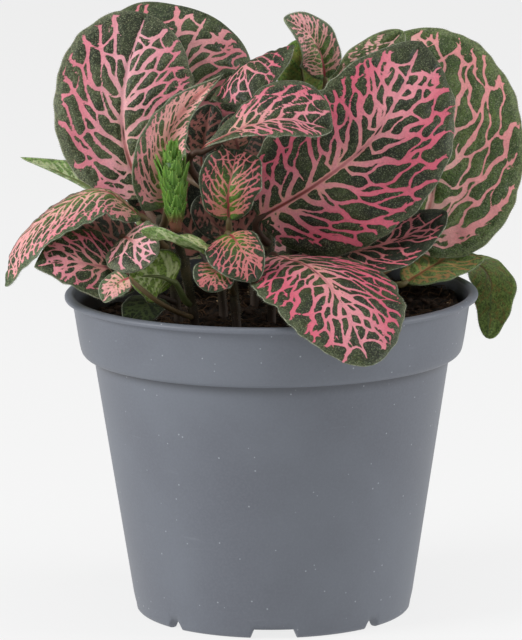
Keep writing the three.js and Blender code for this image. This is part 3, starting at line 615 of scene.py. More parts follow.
def fill(half, low, high, start, end, radius, phase, depth, rng):
    """Fills the field between two veins, from start to end."""
    look = half["look"]
    t = np.linspace(start, end, 16)
    wide = np.nonzero(gap(half, low, high, t) > look["field"] * (1 + 0.15 * depth))[0]
    if depth > 1 or len(wide) == 0 or t[wide[0]] > end - LAST_SPLIT:
        tie(half, low, high, start, end, radius, phase, rng)
        return
    split = max(t[wide[0]], start + 0.12)
    tie(half, low, high, start, split, radius, phase, rng)
    share = rng.uniform(0.42, 0.58)
    host, way = (low, 1) if rng.random() < 0.5 else (high, -1)
    fork = split - FORK_BEFORE * look["field"] / half["reach"]
    host["bends"].append((fork, way))
    middle = add_vein(half, low["s"] * (1 - share) + high["s"] * share, split,
                      rng.uniform(0.96, 1.0), radius * 1.15, (host, fork))
    fill(half, low, middle, split, end, radius * 0.9, phase, depth + 1, rng)
    fill(half, middle, high, split, end, radius * 0.9, 1 - phase, depth + 1, rng)


print("a cross vein's slant over a field 4 mm wide:", 2 * SLANT * 4, "mm")

# %% [markdown]
# A vein thins towards the leaf's edge and ends there in a comb of short spurs, cross veins are
# a little bowed and some stay open, and thorns stick out from all of them. They could be drawn
# as curves, but only distances are needed, so each is kept as short straight segments.


# %% Drawn veins
VEIN_END = 0.16
SPUR_END = 0.13
OPEN_END = 0.17
THORN_END = 0.1
OUTER_FIELDS = 0.78


def add_line(segments, points, radii):
    """Adds a line as segments: x and y of the start and of the end, and the radius at each."""
    for k in range(len(points) - 1):
        segments.append((*points[k], *points[k + 1], radii[k], radii[k + 1]))


def draw_veins(half, segments, rng):
    """Each vein as a line that thins outwards, with a comb of spurs at its end."""
    look = half["look"]
    for vein in half["veins"]:
        t = np.linspace(vein["start"], vein["end"], 22)
        s = bent(half, vein, t)
        if vein["root"]:
            host, fork = vein["root"]
            t, s = np.concatenate([[fork], t]), np.concatenate([[bent(half, host, fork)], s])
        thin = 1 - 0.36 * t - 0.52 * smoothstep(0.88, 1.0, t)
        line = spot(half["fan"], s, t)
        add_line(segments, line, np.maximum(vein["radius"] * thin, VEIN_END))
        heading = unit(line[-1] - line[-3])
        for k in range(rng.integers(3, 6)):
            root = line[-1] - heading * (k + rng.uniform(0.1, 0.9)) * look["comb"]
            way = turned(heading, (1 if k % 2 else -1) * rng.uniform(0.5, 1.0))
            tip = root + way * look["comb"] * rng.uniform(0.7, 1.5)
            add_line(segments, [root, tip], [look["cross"] * 0.8, SPUR_END])


def draw_rungs(half, segments, rng):
    """Each cross vein as a bowed line; near the edge it bows outwards, and some stay open."""
    for low, start, high, end, radius, t in half["rungs"]:
        a = spot(half["fan"], bent(half, low, start), start)
        b = spot(half["fan"], bent(half, high, end), end)
        across, middle = b - a, (a + b) / 2
        bow = rng.uniform(-0.1, 0.1)
        if t > OUTER_FIELDS:
            bow = 0.24 * np.sign(across[0] * middle[1] - across[1] * middle[0])
        k = np.linspace(0, 1, 6)[:, None]
        line = a + across * k + np.array([-across[1], across[0]]) * -bow * 4 * k * (1 - k)
        if rng.random() < half["look"]["open"]:
            cut = rng.integers(3, 5)
            add_line(segments, line[:cut], np.linspace(radius, OPEN_END, cut))
        else:
            waist = 1 - 0.2 * np.sin(math.pi * k[:, 0])
            add_line(segments, line, radius * waist * rng.uniform(0.85, 1.15))


def draw_thorns(segments, look, rng):
    """Short thorns on veins picked at random, but not on the rib."""
    for _ in range(int(len(segments) * look["thorns"])):
        x0, y0, x1, y1, r0, _ = segments[rng.integers(len(segments))]
        if r0 > 1.2 * look["side"]:
            continue
        angle = math.atan2(y1 - y0, x1 - x0) + rng.choice([-1, 1]) * rng.uniform(0.5, 1.2)
        t = rng.random()
        root = np.array([x0 + (x1 - x0) * t, y0 + (y1 - y0) * t])
        tip = root + (r0 + rng.uniform(0.3, 1.0)) * np.array([math.cos(angle), math.sin(angle)])
        add_line(segments, [root, tip], [0.2 * r0 + VEIN_END, THORN_END])


trial = []
add_line(trial, resampled(np.array([[0.0, 0.0], [0.0, 10.0]])), np.ones(24))
print("segments in a vein:", len(trial))

# %% [markdown]
# A leaf's net is drawn one hand at a time and the rib is shared. Whether a point lies on a vein
# could be looked up in a picture of the net, but a picture has a grain. So each point of the
# blade gets its distance to the nearest vein, and a material can draw a clean line from that.


# %% Whole net
def half_net(hand, length, width_at, look, segments, rng):
    """Grows the net on one hand: side veins, what fills the fields, then all their lines."""
    fan = fan_of_veins(hand, length, width_at, look, rng)
    reach = float(np.linalg.norm(np.diff(fan, axis=1), axis=2).sum(1).mean())
    half = {"fan": fan, "reach": reach, "look": look, "veins": [], "rungs": []}
    for i in range(len(fan) - 1):
        room = smoothstep(0, look["field"] * 1.3, width_at(fan[i][0, 1] + 2, hand) - 1)
        radius = look["side"] * (1 - 0.3 * i / len(fan)) if i else look["cross"]
        add_vein(half, i, 0, rng.uniform(0.97, 1.0), radius * (0.35 + 0.65 * room))
    rib = {"s": len(fan) - 1, "bends": []}
    sides = [*half["veins"], rib]
    for i in range(len(fan) - 1):
        fill(half, sides[i], sides[i + 1], 0.05, EDGE_OF_NET, look["cross"], 0.5 * (i % 2), 0, rng)
    rib["bends"] = []
    draw_veins(half, segments, rng)
    draw_rungs(half, segments, rng)


def vein_net(length, width_at, look, rng):
    """All veins of a leaf as segments: the rib, then each hand's net, then the thorns."""
    segments = []
    rib = np.stack([np.zeros(30), np.linspace(-1, length * 0.96, 30)], 1)
    add_line(segments, rib, np.linspace(look["rib"], look["rib"] * 0.3, 30))
    for hand in (-1, 1):
        half_net(hand, length, width_at, look, segments, rng)
    draw_thorns(segments, look, rng)
    return np.array(segments)


def net_distance(points, segments, softness):
    """How far each flat point is from the nearest vein's side, less than 0 inside. The net's
    distances d are blended as -k log(sum of exp(-d / k)), which webs the forks."""
    total = np.zeros(len(points))
    for x0, y0, x1, y1, r0, r1 in segments:
        run = np.array([x1 - x0, y1 - y0])
        size = max(run @ run, 1e-9)
        t = np.clip(((points - (x0, y0)) @ run) / size, 0, 1)
        away = np.hypot(points[:, 0] - x0 - t * run[0], points[:, 1] - y0 - t * run[1])
        total += np.exp(-(away - r0 - (r1 - r0) * t + 0.7 * softness) / softness)
    return -softness * np.log(np.maximum(total, 1e-30))


lone_vein = np.array([[0, 0, 0, 10, 0.5, 0.5]])
print("0.5 mm from the side of a lone vein:",
      net_distance(np.array([[1.0, 5.0]]), lone_vein, 0.17).round(2))

# %% [markdown]
# Stalks, stems and roots are round and bent, and leaves and stems carry a fine white down. A
# curve with a bevel would make a tube and a hair system the down, but the export drops hair,
# and every piece here has to be one closed mesh. So a tube is a stack of rings that closes to a
# point at each end, and a hair is a thin cone with three sides.


# %% Tubes and hairs
def ring_faces(rings, sides, first=0):
    """Quads between closed rings and triangles to the two poles that follow them."""
    ring = np.arange(rings - 1)[:, None] * sides
    k = np.arange(sides)[None, :]
    after = (k + 1) % sides
    quads = np.stack([ring + k, ring + after, ring + sides + after, ring + sides + k], -1)
    side = np.arange(sides)
    after = (side + 1) % sides
    pole = rings * sides
    last = (rings - 1) * sides
    start = np.stack([np.full(sides, pole), after, side], 1)
    end = np.stack([np.full(sides, pole + 1), last + side, last + after], 1)
    return [quads.reshape(-1, 4) + first, np.concatenate([start, end]) + first]


def tube(points, radii, sides, attributes):
    """A closed tube along points, its rings held square to it and its ends poles."""
    points = np.asarray(points, dtype=float)
    along = unit(np.gradient(points, axis=0))
    across = np.cross(along, [0.31, 0.2, 0.93])
    across = unit(np.where(np.linalg.norm(across, axis=1, keepdims=True) < 0.2,
                           np.cross(along, [1.0, 0, 0]), across))
    for k in range(1, len(points)):
        flat = across[k - 1] - along[k] * (across[k - 1] @ along[k])
        across[k] = flat / np.linalg.norm(flat)
    up = np.cross(along, across)
    angle = np.linspace(0, 2 * math.pi, sides, endpoint=False)
    ring = (across[:, None] * np.cos(angle)[None, :, None]
            + up[:, None] * np.sin(angle)[None, :, None])
    skin = points[:, None] + ring * np.asarray(radii)[:, None, None]
    ends = [points[0] - along[0] * radii[0] * 0.4, points[-1] + along[-1] * radii[-1] * 0.4]
    every = np.concatenate([skin.reshape(-1, 3), ends])
    return every, ring_faces(len(points), sides), {k: np.full(len(every), float(v))
                                                   for k, v in attributes.items()}


def hairs(roots, directions, lengths, radius, value):
    """Cones on a triangle: three corners round each root and one at the tip."""
    directions = unit(directions)
    across = unit(np.cross(directions, [0.3, 0.5, 0.81]))
    up = np.cross(directions, across)
    corners = [roots + radius * (across * math.cos(a) + up * math.sin(a))
               for a in (0, 2 * math.pi / 3, 4 * math.pi / 3)]
    tips = roots + directions * np.asarray(lengths)[:, None]
    points = np.stack([*corners, tips], 1).reshape(-1, 3)
    first = 4 * np.arange(len(roots))[:, None]
    faces = np.concatenate([first + np.array(f)
                            for f in ([0, 1, 3], [1, 2, 3], [2, 0, 3], [0, 2, 1])])
    return points, [faces], {"fuzz": np.full(len(points), float(value))}


def bezier(points, count):
    """The Bezier line of three or four points: at t the weights are the binomial terms of
    t and 1 - t."""
    t = np.linspace(0, 1, count)[:, None]
    n = len(points) - 1
    return sum(math.comb(n, k) * t ** k * (1 - t) ** (n - k) * np.array(p, dtype=float)
               for k, p in enumerate(points))


print("a tube of 3 rings of 8 has faces:", sum(map(len, ring_faces(3, 8))))

# %% [markdown]
# A real blade is thin but solid: it has two faces and a rounded edge with fine white hairs. A
# plane with a thickness modifier would do, but both faces are wanted apart, as the lower one is
# paler. So the mesh is one closed flat sleeve. Each ring runs over the upper face from the left
# edge to the right and back under the lower face, and the rings close to a point at foot and
# tip. The green fields between the veins swell a little, the rib lies in a groove, and the
# edge is scalloped. All sizes below are in millimetres.


# %% Leaf blades
HALF_BLADE = 0.3
PUCKER = 0.36
GROOVE = 0.25
DENTS = 0.12
SCALLOP = 0.33
RIPPLE = 0.3
TREMBLE = 0.06
CELL = 0.43
HAIR_RADIUS = 0.045


def edge_hairs(rings, columns, rng):
    """Short white hairs that stand out from both edges of the blade's rings, each leaning at
    random by a third or so of its length."""
    picked = rings[(rings.shape[0] // 12):-2]
    roots = np.concatenate([picked[:, 0], picked[:, columns]])
    inner = np.concatenate([picked[:, 2], picked[:, columns - 2]])
    out = unit(roots - inner) + rng.normal(0, 0.35, roots.shape)
    lengths = rng.uniform(0.3, 0.8, len(roots))
    points, faces, _ = hairs(roots - 0.05 * out, out, lengths, HAIR_RADIUS, 1)
    plain = {"vein": 2.0, "edge": 0.0, "rib": 9.0, "way": 0.5, "under": 0.0}
    return points, faces, {key: np.full(len(points), value) for key, value in plain.items()}


def sleeve_grid(leaf, length, cell):
    """u along the rib and v across for each point of the sleeve's rings, and 1 for the lower
    face. Rings crowd at the foot: u is 0.6 e + 0.2 (1 - cos(pi e)) for even steps e. Also the
    number of rings and of steps over the upper face."""
    rows = max(14, int(1.1 * length / cell))
    columns = max(12, int(sum(leaf["halves"]) / cell / 2) * 2)
    even = np.arange(1, rows) / rows
    u = 0.6 * even + 0.2 - 0.2 * np.cos(math.pi * even)
    upper = np.linspace(-1, 1, columns + 1)
    lower = np.linspace(1, -1, columns // 2 + 1)[1:-1]
    v = np.concatenate([upper, lower])
    under = np.concatenate([np.zeros(columns + 1), np.ones(len(lower))])
    return np.repeat(u, len(v)), np.tile(v, len(u)), np.tile(under, len(u)), len(u), columns


def blade(leaf, look, rng):
    """The blade and, where it is seen, its hairs: points, faces and attributes of each."""
    fine = np.linspace(0, 1, 400)
    run = np.linalg.norm(np.diff(curve_points(leaf["rib"], fine), axis=0), axis=1)
    run = np.concatenate([[0], np.cumsum(run)])
    length = run[-1]
    u, v, under, rings, columns = sleeve_grid(leaf, length, CELL * look["cell"])
    hand = np.where(v < 0, -1.0, 1.0)
    half = half_widths(leaf, u, hand)
    along = np.interp(u, fine, run)
    border = np.stack([along, 60 * hand], 1)
    flat = np.stack([v * half, along], 1)
    scallop = SCALLOP * waves(border, 6, rng) * smoothstep(2, 8, half) * np.abs(v) ** 4
    middle, normal = leaf_surface(leaf, u, v * (look["grow"] + scallop / np.maximum(half, 2)))

    def width_at(y, hand):
        """Half the blade's width at y along the rib, or -1 past its ends."""
        place = np.interp(y, run, fine, left=-1, right=-1)
        return -1.0 if place < 0 else float(half_widths(leaf, place, hand))

    segments = vein_net(length, width_at, look, rng)
    warp = np.stack([waves(flat, 9, rng), waves(flat, 9, rng)], 1) * look["wander"]
    warp += np.stack([waves(flat, 2.2, rng), waves(flat, 2.2, rng)], 1) * TREMBLE
    warp *= smoothstep(0, 3, np.abs(flat[:, 0]))[:, None]
    vein = net_distance(flat + warp, segments, look["web"])
    edge = (1 - np.abs(v)) * half
    rib = np.abs(flat[:, 0])
    round_off = np.sqrt(np.clip(1 - np.abs(v) ** 10, 0, 1)) * smoothstep(0, 0.8, half)
    swell = PUCKER * smoothstep(0, 1.3, vein) * smoothstep(0.3, 3, edge)
    swell -= GROOVE * smoothstep(1.4, 0.2, rib) * smoothstep(0, 4, half)
    offset = np.where(under > 0, -HALF_BLADE, HALF_BLADE) * round_off + swell
    offset += DENTS * waves(flat, 7, rng) * smoothstep(0.5, 4, edge)
    offset += RIPPLE * waves(border, 9, rng) * smoothstep(3, 9, half) * np.abs(v) ** 6
    points = middle + normal * offset[:, None]
    poles = curve_points(leaf["rib"], np.array([0.0, 1.0]))
    at_poles = {"vein": [-0.5, 1], "way": [0, 1]}
    attributes = {"vein": vein, "edge": edge, "rib": rib, "way": u, "under": under}
    attributes = {key: np.concatenate([values, at_poles.get(key, [0, 0])])
                  for key, values in attributes.items()}
    sides = len(u) // rings
    sleeve = np.concatenate([points, poles]), ring_faces(rings, sides), attributes
    if not look["downy"]:
        return [sleeve]
    return [sleeve, edge_hairs(points.reshape(rings, sides, 3), columns, rng)]


print("points across a half of the largest leaf:", int(max(largest["halves"]) / CELL))

# %% [markdown]
# A leaf hangs on a stalk that leaves its stem outwards, bends, and runs on under the blade as
# its raised midrib. It could be a part of the blade's own sleeve, but its bend is the stalk's
# own, so it is a tube along a Bezier line: first away from the stem, then into the rib's way.


# %% Leaf stalks
STEM_RADIUS = 1.5
STALK_RADIUS = 1.0


def stem_point(name, height):
    """Where a stem's line passes a height, by halving."""
    low, high = 0.0, 1.0
    for _ in range(30):
        middle = (low + high) / 2
        if curve_points(STEMS[name], np.array([middle]))[0, 2] < height:
            low = middle
        else:
            high = middle
    return curve_points(STEMS[name], np.array([low]))[0]


def stalk(leaf):
    """The stalk from its stem to the blade's foot, thinning on under the blade as the rib."""
    start = stem_point(leaf["stem"], leaf["at"])
    foot = np.array(leaf["rib"][0], dtype=float)
    away = (foot - start) * [1, 1, 0]
    away /= np.linalg.norm(away)
    first = start + away * (STEM_RADIUS - 0.6)
    reach = np.linalg.norm(foot - start)
    if "via" in leaf:
        path = bezier([first, leaf["via"], foot], 16)
    else:
        heading = curve_directions(leaf["rib"], np.array([0.0]))[0]
        near = first + away * (0.3 * reach) + [0, 0, 0.1 * reach]
        path = bezier([first, near, foot - heading * (0.3 * reach), foot], 16)
    u = np.linspace(0.03, 0.8, 14)
    small = min(1.0, 0.45 + sum(leaf["halves"]) / 40)
    radii = np.concatenate([np.linspace(1.25, STALK_RADIUS, 16) * small,
                            np.linspace(0.95, 0.25, 14) * small])
    under, normal = leaf_surface(leaf, u, np.zeros(len(u)))
    path = np.concatenate([path, under - normal * (radii[16:, None] + 0.02)])
    return tube(path, radii, 10,
                {"vein": -0.3, "edge": 3, "rib": 3, "way": -1, "under": 1})


print("points on the largest leaf's stalk:", len(stalk(largest)[0]))

# %% [markdown]
# A leaf of this plant is a soft blade with a waxy skin of tiny raised cells. The skin over the
# veins holds no green, so they show pink. A full-grown leaf is nearly black-green, a young one
# is lime between its veins, and the lower faces are pale. Some looks are darker copies that
# paint shade on leaves deep in the plant, and one is a lighter copy that paints light.
# A painted texture would need a picture for each leaf, so the colours are mixed from values
# that each vertex carries: how far it lies from the nearest vein, the edge and the midrib.
# Each look below is a set of colours for one leaf material.

# %% Leaf looks
# Each look's painted_glint is how much painted highlight its skin gets.
LOOKS = {
    # mature: the leaves' own colour, but its paler pinks partly paint the brighter light on the
    # upper left leaf
    "mature": dict(
        painted_glint=0.6,
        tissue="#252b1a", bloom="#464d34", lime="#36451f", young=0.25, margin="#565c45",
        vein="#d9818f", pale="#e2a2ab", cream="#d6a792", core="#94493f",
        under="#66754a", under_vein="#b98a80", stalk="#5d4536",
    ),
    # deep: a darker, more saturated copy of mature, partly the leaves' own colour and partly
    # painted shade on leaves that get less light
    "deep": dict(
        painted_glint=0.4,
        tissue="#171d0e", bloom="#2e3719", lime="#2e4018", young=0.35, margin="#3f472f",
        vein="#cf6176", pale="#d98b95", cream="#cfa184", core="#7d342c",
        under="#5d6d42", under_vein="#ad8076", stalk="#4a3529",
    ),
    # painted shade: a darker copy for the leaf lying under the others, partly in their shadow
    "painted_half_shade": dict(
        painted_glint=0.18,
        tissue="#0e1308", bloom="#19200f", lime="#1f2c12", young=0.3, margin="#2b3322",
        vein="#cc6473", pale="#cf7a80", cream="#b98a70", core="#6d2f2a",
        under="#3c4a2b", under_vein="#7d5a50", stalk="#3a2b20",
    ),
    # painted shade: a near-black copy with greenish veins for the leaf low in the pot, where deep
    # shade falls
    "painted_deep_shade": dict(
        painted_glint=0.15,
        tissue="#121b0c", bloom="#1e2b14", lime="#25381a", young=0.4, margin="#26321b",
        vein="#39482a", pale="#46552f", cream="#4d5a34", core="#3a3c22",
        under="#2f3922", under_vein="#3f4a2c", stalk="#33281e",
    ),
    "olive": dict(
        painted_glint=0.45,
        tissue="#26301a", bloom="#3e4a2a", lime="#44592a", young=0.4, margin="#4a543a",
        vein="#d07a83", pale="#dc9a9c", cream="#d8ab95", core="#a3544c",
        under="#6a8046", under_vein="#c09084", stalk="#5d4b36",
    ),
    "bright": dict(
        painted_glint=0.5,
        tissue="#35461f", bloom="#536234", lime="#587330", young=0.5, margin="#5a6740",
        vein="#df9393", pale="#e9b2ac", cream="#e0b8a0", core="#b3645a",
        under="#6f8b48", under_vein="#c99a86", stalk="#6b5a3c",
    ),
    "young": dict(
        painted_glint=0.45,
        tissue="#29361b", bloom="#435230", lime="#64813a", young=0.7, margin="#4a593c",
        vein="#d97f8b", pale="#e39f9f", cream="#dcb096", core="#a8474d",
        under="#6f8644", under_vein="#d0a583", stalk="#6b5a3c",
    ),
    # painted light: a lighter copy of the young look, its colours raised so that the folded leaf
    # looks lit where it lies in shade
    "painted_light_young": dict(
        painted_glint=0.45,
        tissue="#35432a", bloom="#566744", lime="#7f9a45", young=0.8, margin="#5c6b4e",
        vein="#ea97a1", pale="#f3b6b0", cream="#ecc6a6", core="#b55055",
        under="#6f8644", under_vein="#d0a583", stalk="#6b5a3c",
    ),
    "heart": dict(
        painted_glint=0.16,
        tissue="#131b0a", bloom="#1d2710", lime="#4d6e1c", young=0.9, margin="#2d3721",
        vein="#ba5a69", pale="#c07070", cream="#c08a6c", core="#8f2e36",
        under="#62783c", under_vein="#c09473", stalk="#5a4c30",
    ),
    # painted shade: a dark copy of the leaf colours for the leaves deep inside the plant, where
    # shade falls
    "painted_shade": dict(
        painted_glint=0.2,
        tissue="#10140b", bloom="#1b2013", lime="#1a220e", young=0.25, margin="#22261b",
        vein="#8a4e4c", pale="#935b55", cream="#7c5845", core="#552a25",
        under="#2f3922", under_vein="#5f453d", stalk="#33281e",
    ),
    "pale": dict(
        painted_glint=0.15,
        tissue="#4b6431", bloom="#5f7a3f", lime="#78934a", young=0.6, margin="#627c49",
        vein="#c3cc94", pale="#ced4a0", cream="#c9ce98", core="#bdbb86",
        under="#6f8838", under_vein="#e4ebb4", stalk="#5f6a3c",
    ),
    "wan": dict(
        painted_glint=0.12,
        tissue="#748c50", bloom="#869c60", lime="#98ad62", young=0.5, margin="#84995f",
        vein="#c6cc98", pale="#ced3a2", cream="#cccf9c", core="#bdb985",
        under="#6e884a", under_vein="#e0e6b8", stalk="#6f7c48",
    ),
    "droop": dict(
        painted_glint=0.2,
        tissue="#566c33", bloom="#6c8044", lime="#7c9244", young=0.5, margin="#667a42",
        vein="#a3784a", pale="#ad8550", cream="#b0925a", core="#8f5a35",
        under="#728644", under_vein="#9d7040", stalk="#6a6038",
    ),
    "translucent": dict(
        painted_glint=0.3,
        tissue="#2a4518", bloom="#3f6024", lime="#587d28", young=0.8, margin="#4a6a30",
        vein="#c4787a", pale="#cf9a90", cream="#c79c74", core="#a0683c",
        under="#62803a", under_vein="#8a7f3c", stalk="#5c5a30",
    ),
}
print("looks:", len(LOOKS), "each with", len(LOOKS["mature"]), "values")

# %% [markdown]
# The net's sizes go with the leaf. Real nets grow by adding veins, not by stretching, so a
# small leaf has a finer net but not in full proportion. Fresh leaves have closer, bolder and
# steeper veins. One rule gives all sizes, and a plan only says where its leaf departs from it.

# %% Vein sizes
FRESH = ("young", "heart", "painted_light_young", "translucent")
FULL_WIDTH = 40.0


def vein_look(leaf):
    """The sizes of a leaf's vein net in millimetres, all shrunk for small leaves: the size is
    the leaf's width over that of a full one, to the power 0.7, and less for a fresh leaf. There
    are as many pairs of side veins as fit in the rib's length times the sine of their angle."""
    fresh = leaf["look"] in FRESH
    size = float(np.clip(sum(leaf["halves"]) / FULL_WIDTH, 0.25, 1.0)) ** 0.7
    size *= 0.72 if fresh else leaf["coarse"]
    bold = size * leaf["bold"]
    rib = np.array(leaf["rib"], dtype=float)
    length = np.linalg.norm(np.diff(rib, axis=0), axis=1).sum()
    spread = leaf.get("spread", (64, 27) if fresh else (68, 29))
    pairs = round(length / (8.7 * size) * math.sin(math.radians(spread[0])))
    side, cross = (1.12, 0.62) if fresh else (0.8, 0.42)
    return dict(
        pairs=int(np.clip(pairs, 4, 9)), spread=spread, bend=0.014,
        field=7.3 * size, rung=5.6 * size, narrow=2.4 * size, margin=0.6 * size,
        rib=0.95 * size, side=side * bold, cross=cross * bold,
        zigzag=1.05 * size, web=0.17 * size, grow=leaf["grown"],
        comb=1.5 * size, wander=0.4 * size, thorns=0.07, skip=0.03, open=0.1,
        cell=1.5 if leaf["hidden"] else 0.75 if fresh else 1.0, downy=not leaf["hidden"],
    )


print("pairs of side veins in the largest leaf:", vein_look(largest)["pairs"])

# %% [markdown]
# A leaf's skin is a wax coat over living cells. Up close it is matt with fine glints, as the
# cells stand up like beads about 0.4 mm wide: each gets its own tone and a low bump, and the
# glints are highlights painted into the colour. Along a vein the pink is paler in the middle and
# near the midrib, which is brown-red with cream flanks. A painted highlight 0.3 mm wide lines
# the blade's edge. One function makes every leaf material, because only the colours differ.
# The painted glints are finer on the plant and drawn just coarse enough to show.

# %% Leaf materials
SKIN_CELLS = 2300.0
PAINTED_GLINT_CELLS = 3800.0
PAINTED_GLINT_TINT = "#98a07c"
PAINTED_EDGE_HIGHLIGHT = "#9ca28c"


def leaf_material(name, look):
    """Mixes tissue, veins and lower face by the values that the vertices carry."""
    material, tree, place = new_material(name)
    vein, edge, rib, way, under = (
        node(tree, "Attribute", {}, out=2, attribute_name=key)
        for key in ("vein", "edge", "rib", "way", "under"))
    broad, ragged = (node(tree, "TexNoise", {"Vector": place, "Scale": scale, "Detail": 3.0})
                     for scale in (120.0, 1100.0))
    cells = node(tree, "TexVoronoi", {"Vector": place, "Scale": SKIN_CELLS})
    tone, painted_glint_pick = (node(tree, "TexVoronoi", {"Vector": place, "Scale": scale}, out=1)
                   for scale in (SKIN_CELLS, PAINTED_GLINT_CELLS))
    grain = node(tree, "MapRange", {"Value": tone, 1: 0.2, 2: 0.8, 3: 0.58, 4: 1.5})
    grey = node(tree, "CombineColor", {0: grain, 1: grain, 2: grain})
    soft = node(tree, "MapRange", {"Value": tone, 3: 0.86, 4: 1.1})
    soft = node(tree, "CombineColor", {0: soft, 1: soft, 2: soft})
    depth = node(tree, "Math", {0: ragged, 1: 0.13, 2: vein}, operation="MULTIPLY_ADD")

    tissue = layered(tree, look["tissue"], [
        (look["bloom"], (broad, 0.35, 0.7)),
        (look["lime"], (rib, 6.5, 1.0, 0.0, look["young"]), (way, 0.8, 0.25)),
        (look["margin"], (edge, 3.4, 0.8, 0.0, 0.8)),
    ])
    tissue = node(tree, "Mix", {0: 1.0, 6: tissue, 7: grey}, **TINT)
    pink = layered(tree, look["pale"], [
        (look["vein"], (rib, 2.0, 13.0)),
        (look["pale"], (vein, -0.2, -0.9, 0.0, 0.45)),
        (look["cream"], (rib, 7.0, 0.8, 0.0, 0.65), (way, 0.8, 0.25),
         (vein, -0.4, -0.05, 0.25, 1.0)),
        (look["core"], (rib, 0.65, 0.2), (way, 0.6, 0.1)),
    ])
    pink = node(tree, "Mix", {0: 1.0, 6: pink, 7: soft}, **TINT)
    face = layered(tree, tissue, [
        # painted highlights: pale glints of the skin's cells laid into the base colour
        (PAINTED_GLINT_TINT, (painted_glint_pick, 0.55, 0.98, 0.0, look["painted_glint"])),
        # painted highlight: a thin light line along the blade's edge, broken up by noise
        (PAINTED_EDGE_HIGHLIGHT, (edge, 0.4, 0.1), (ragged, 0.35, 0.65, 0.25, 0.85)),
        (pink, (depth, 0.15, 0.0)),
    ])
    back = node(tree, "Mix", {0: 1.0, 6: look["under"], 7: grey}, **TINT)
    back = layered(tree, back, [(look["under_vein"], (depth, 0.2, -0.1, 0.0, 0.55))])
    body = node(tree, "Mix", {0: under, 6: face, 7: back}, **BLEND)
    body = layered(tree, body, [(look["stalk"], (way, -0.4, -0.6))])
    bump = node(tree, "Bump", {"Strength": 0.35, "Distance": 0.0001, "Height": cells})
    finish_material(tree, {
        "Base Color": body, "Normal": bump,
        "Roughness": node(tree, "MapRange", {"Value": tone, 3: 0.45, 4: 0.7}),
        "Specular IOR Level": 0.35, "Subsurface Weight": 0.06, "Subsurface Scale": 0.001,
    })
    return material


MATERIALS = {name: leaf_material("leaf_skin_" + name, look) for name, look in LOOKS.items()}
print("leaf materials:", ", ".join(MATERIALS))

# %% [markdown]
# No two leaves of a plant carry the same net. One leaf could be made and copied, but the eye
# finds copies fast, so each leaf has its own surface, its own net of veins and its own draw of
# scallops and ripples. It takes over from the plain leaf of the same name.

# %% Leaves
leaf_faces = 0
for number, (name, leaf) in enumerate(LEAVES.items()):
    rng = np.random.default_rng(100 + number)
    points, faces, values = joined([*blade(leaf, vein_look(leaf), rng), stalk(leaf)])
    piece = mesh_object("fine_leaf_" + name, points, faces, MATERIALS[leaf["look"]], values)
    leaf_faces += len(piece.data.polygons)
    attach(piece, "root")
    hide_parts("leaf_" + name)
print("leaves:", len(LEAVES), "faces:", leaf_faces)

# %% [markdown]
# A nursery pot is pressed from a thin sheet or moulded, with a tapering side, a step out to a
# stiffer band and a thin rolled lip. It could be drawn as a curve by hand, but its corners are
# better rounded by rule: one outline of radius and height goes over foot, side, band, lip and
# the inside back down, and its corners are cut twice.

# %% Pot outline
POT_HEIGHT = 94
LIP_RADIUS = 60
BAND_RADIUS = 57.6
BAND_BOTTOM = 76
BODY_TOP_RADIUS = 51.5
FOOT_RADIUS = 40.2
WALL = 1.2
FOOT_HEIGHT = 2.8
LONGEST_STEP = 3


def cut_corners(line, times=2, keep=0.2):
    """Each inner corner becomes two points, a share of the way along the sides beside it."""
    line = np.array(line, dtype=float)
    for _ in range(times):
        before = line[:-1] * keep + line[1:] * (1 - keep)
        after = line[:-1] * (1 - keep) + line[1:] * keep
        inner = np.stack([before[:-1], after[1:]], 1).reshape(-1, 2)
        line = np.concatenate([line[:1], inner, line[-1:]])
    return line


def pot_outline():
    """Radius and height from the middle of the base, over the outside, to the inside."""
    corners = cut_corners([
        [FOOT_RADIUS - 3.6, FOOT_HEIGHT], [FOOT_RADIUS - 3, 0], [FOOT_RADIUS - 0.8, 0],
        [FOOT_RADIUS, 0.9], [40.5, 2.4], [BODY_TOP_RADIUS, 74], [51.8, BAND_BOTTOM - 0.2],
        [54.4, BAND_BOTTOM], [55.6, BAND_BOTTOM + 1.6], [BAND_RADIUS, 91], [58.2, 92.6],
        [59.6, 92.3], [LIP_RADIUS, 92.6], [LIP_RADIUS, 93.4], [59.4, POT_HEIGHT],
        [57.4, POT_HEIGHT], [BAND_RADIUS - WALL, 91], [54.4, BAND_BOTTOM + 2],
        [53.4, BAND_BOTTOM + 1.2], [50.8, BAND_BOTTOM + 0.8], [BODY_TOP_RADIUS - WALL, 74],
        [39.2, FOOT_HEIGHT + WALL],
    ])
    under = np.stack([np.linspace(4, FOOT_RADIUS - 5, 6), np.full(6, FOOT_HEIGHT)], 1)
    within = np.stack([np.linspace(36, 4, 6), np.full(6, FOOT_HEIGHT + WALL)], 1)
    line = np.concatenate([under, corners, within])
    lengths = np.linalg.norm(np.diff(line, axis=0), axis=1)
    rows = [line[:1]]
    for k, length in enumerate(lengths):
        steps = max(1, int(length / LONGEST_STEP))
        share = np.arange(1, steps + 1)[:, None] / steps
        rows.append(line[k] + (line[k + 1] - line[k]) * share)
    return np.concatenate(rows)


print("pot outline points:", len(pot_outline()))

# %% [markdown]
# Notches in the foot and holes in the base let water out. A Screw modifier would turn the
# outline about the upright axis, but the notches need walls of their own. So it is turned in
# code with closer steps beside each notch, the foot's rows are raised there, and eight drain
# holes are cut by a Boolean.

# %% Pot
WIDE_NOTCH = 13.4
SMALL_NOTCH = 5
NOTCH_RADIUS = 39
NOTCH_SLOPE = 1.2
NOTCHES = 8
POT_STEPS = 240
DRAIN_HOLE_RADIUS = 3.5
DRAIN_CIRCLE_RADIUS = 29


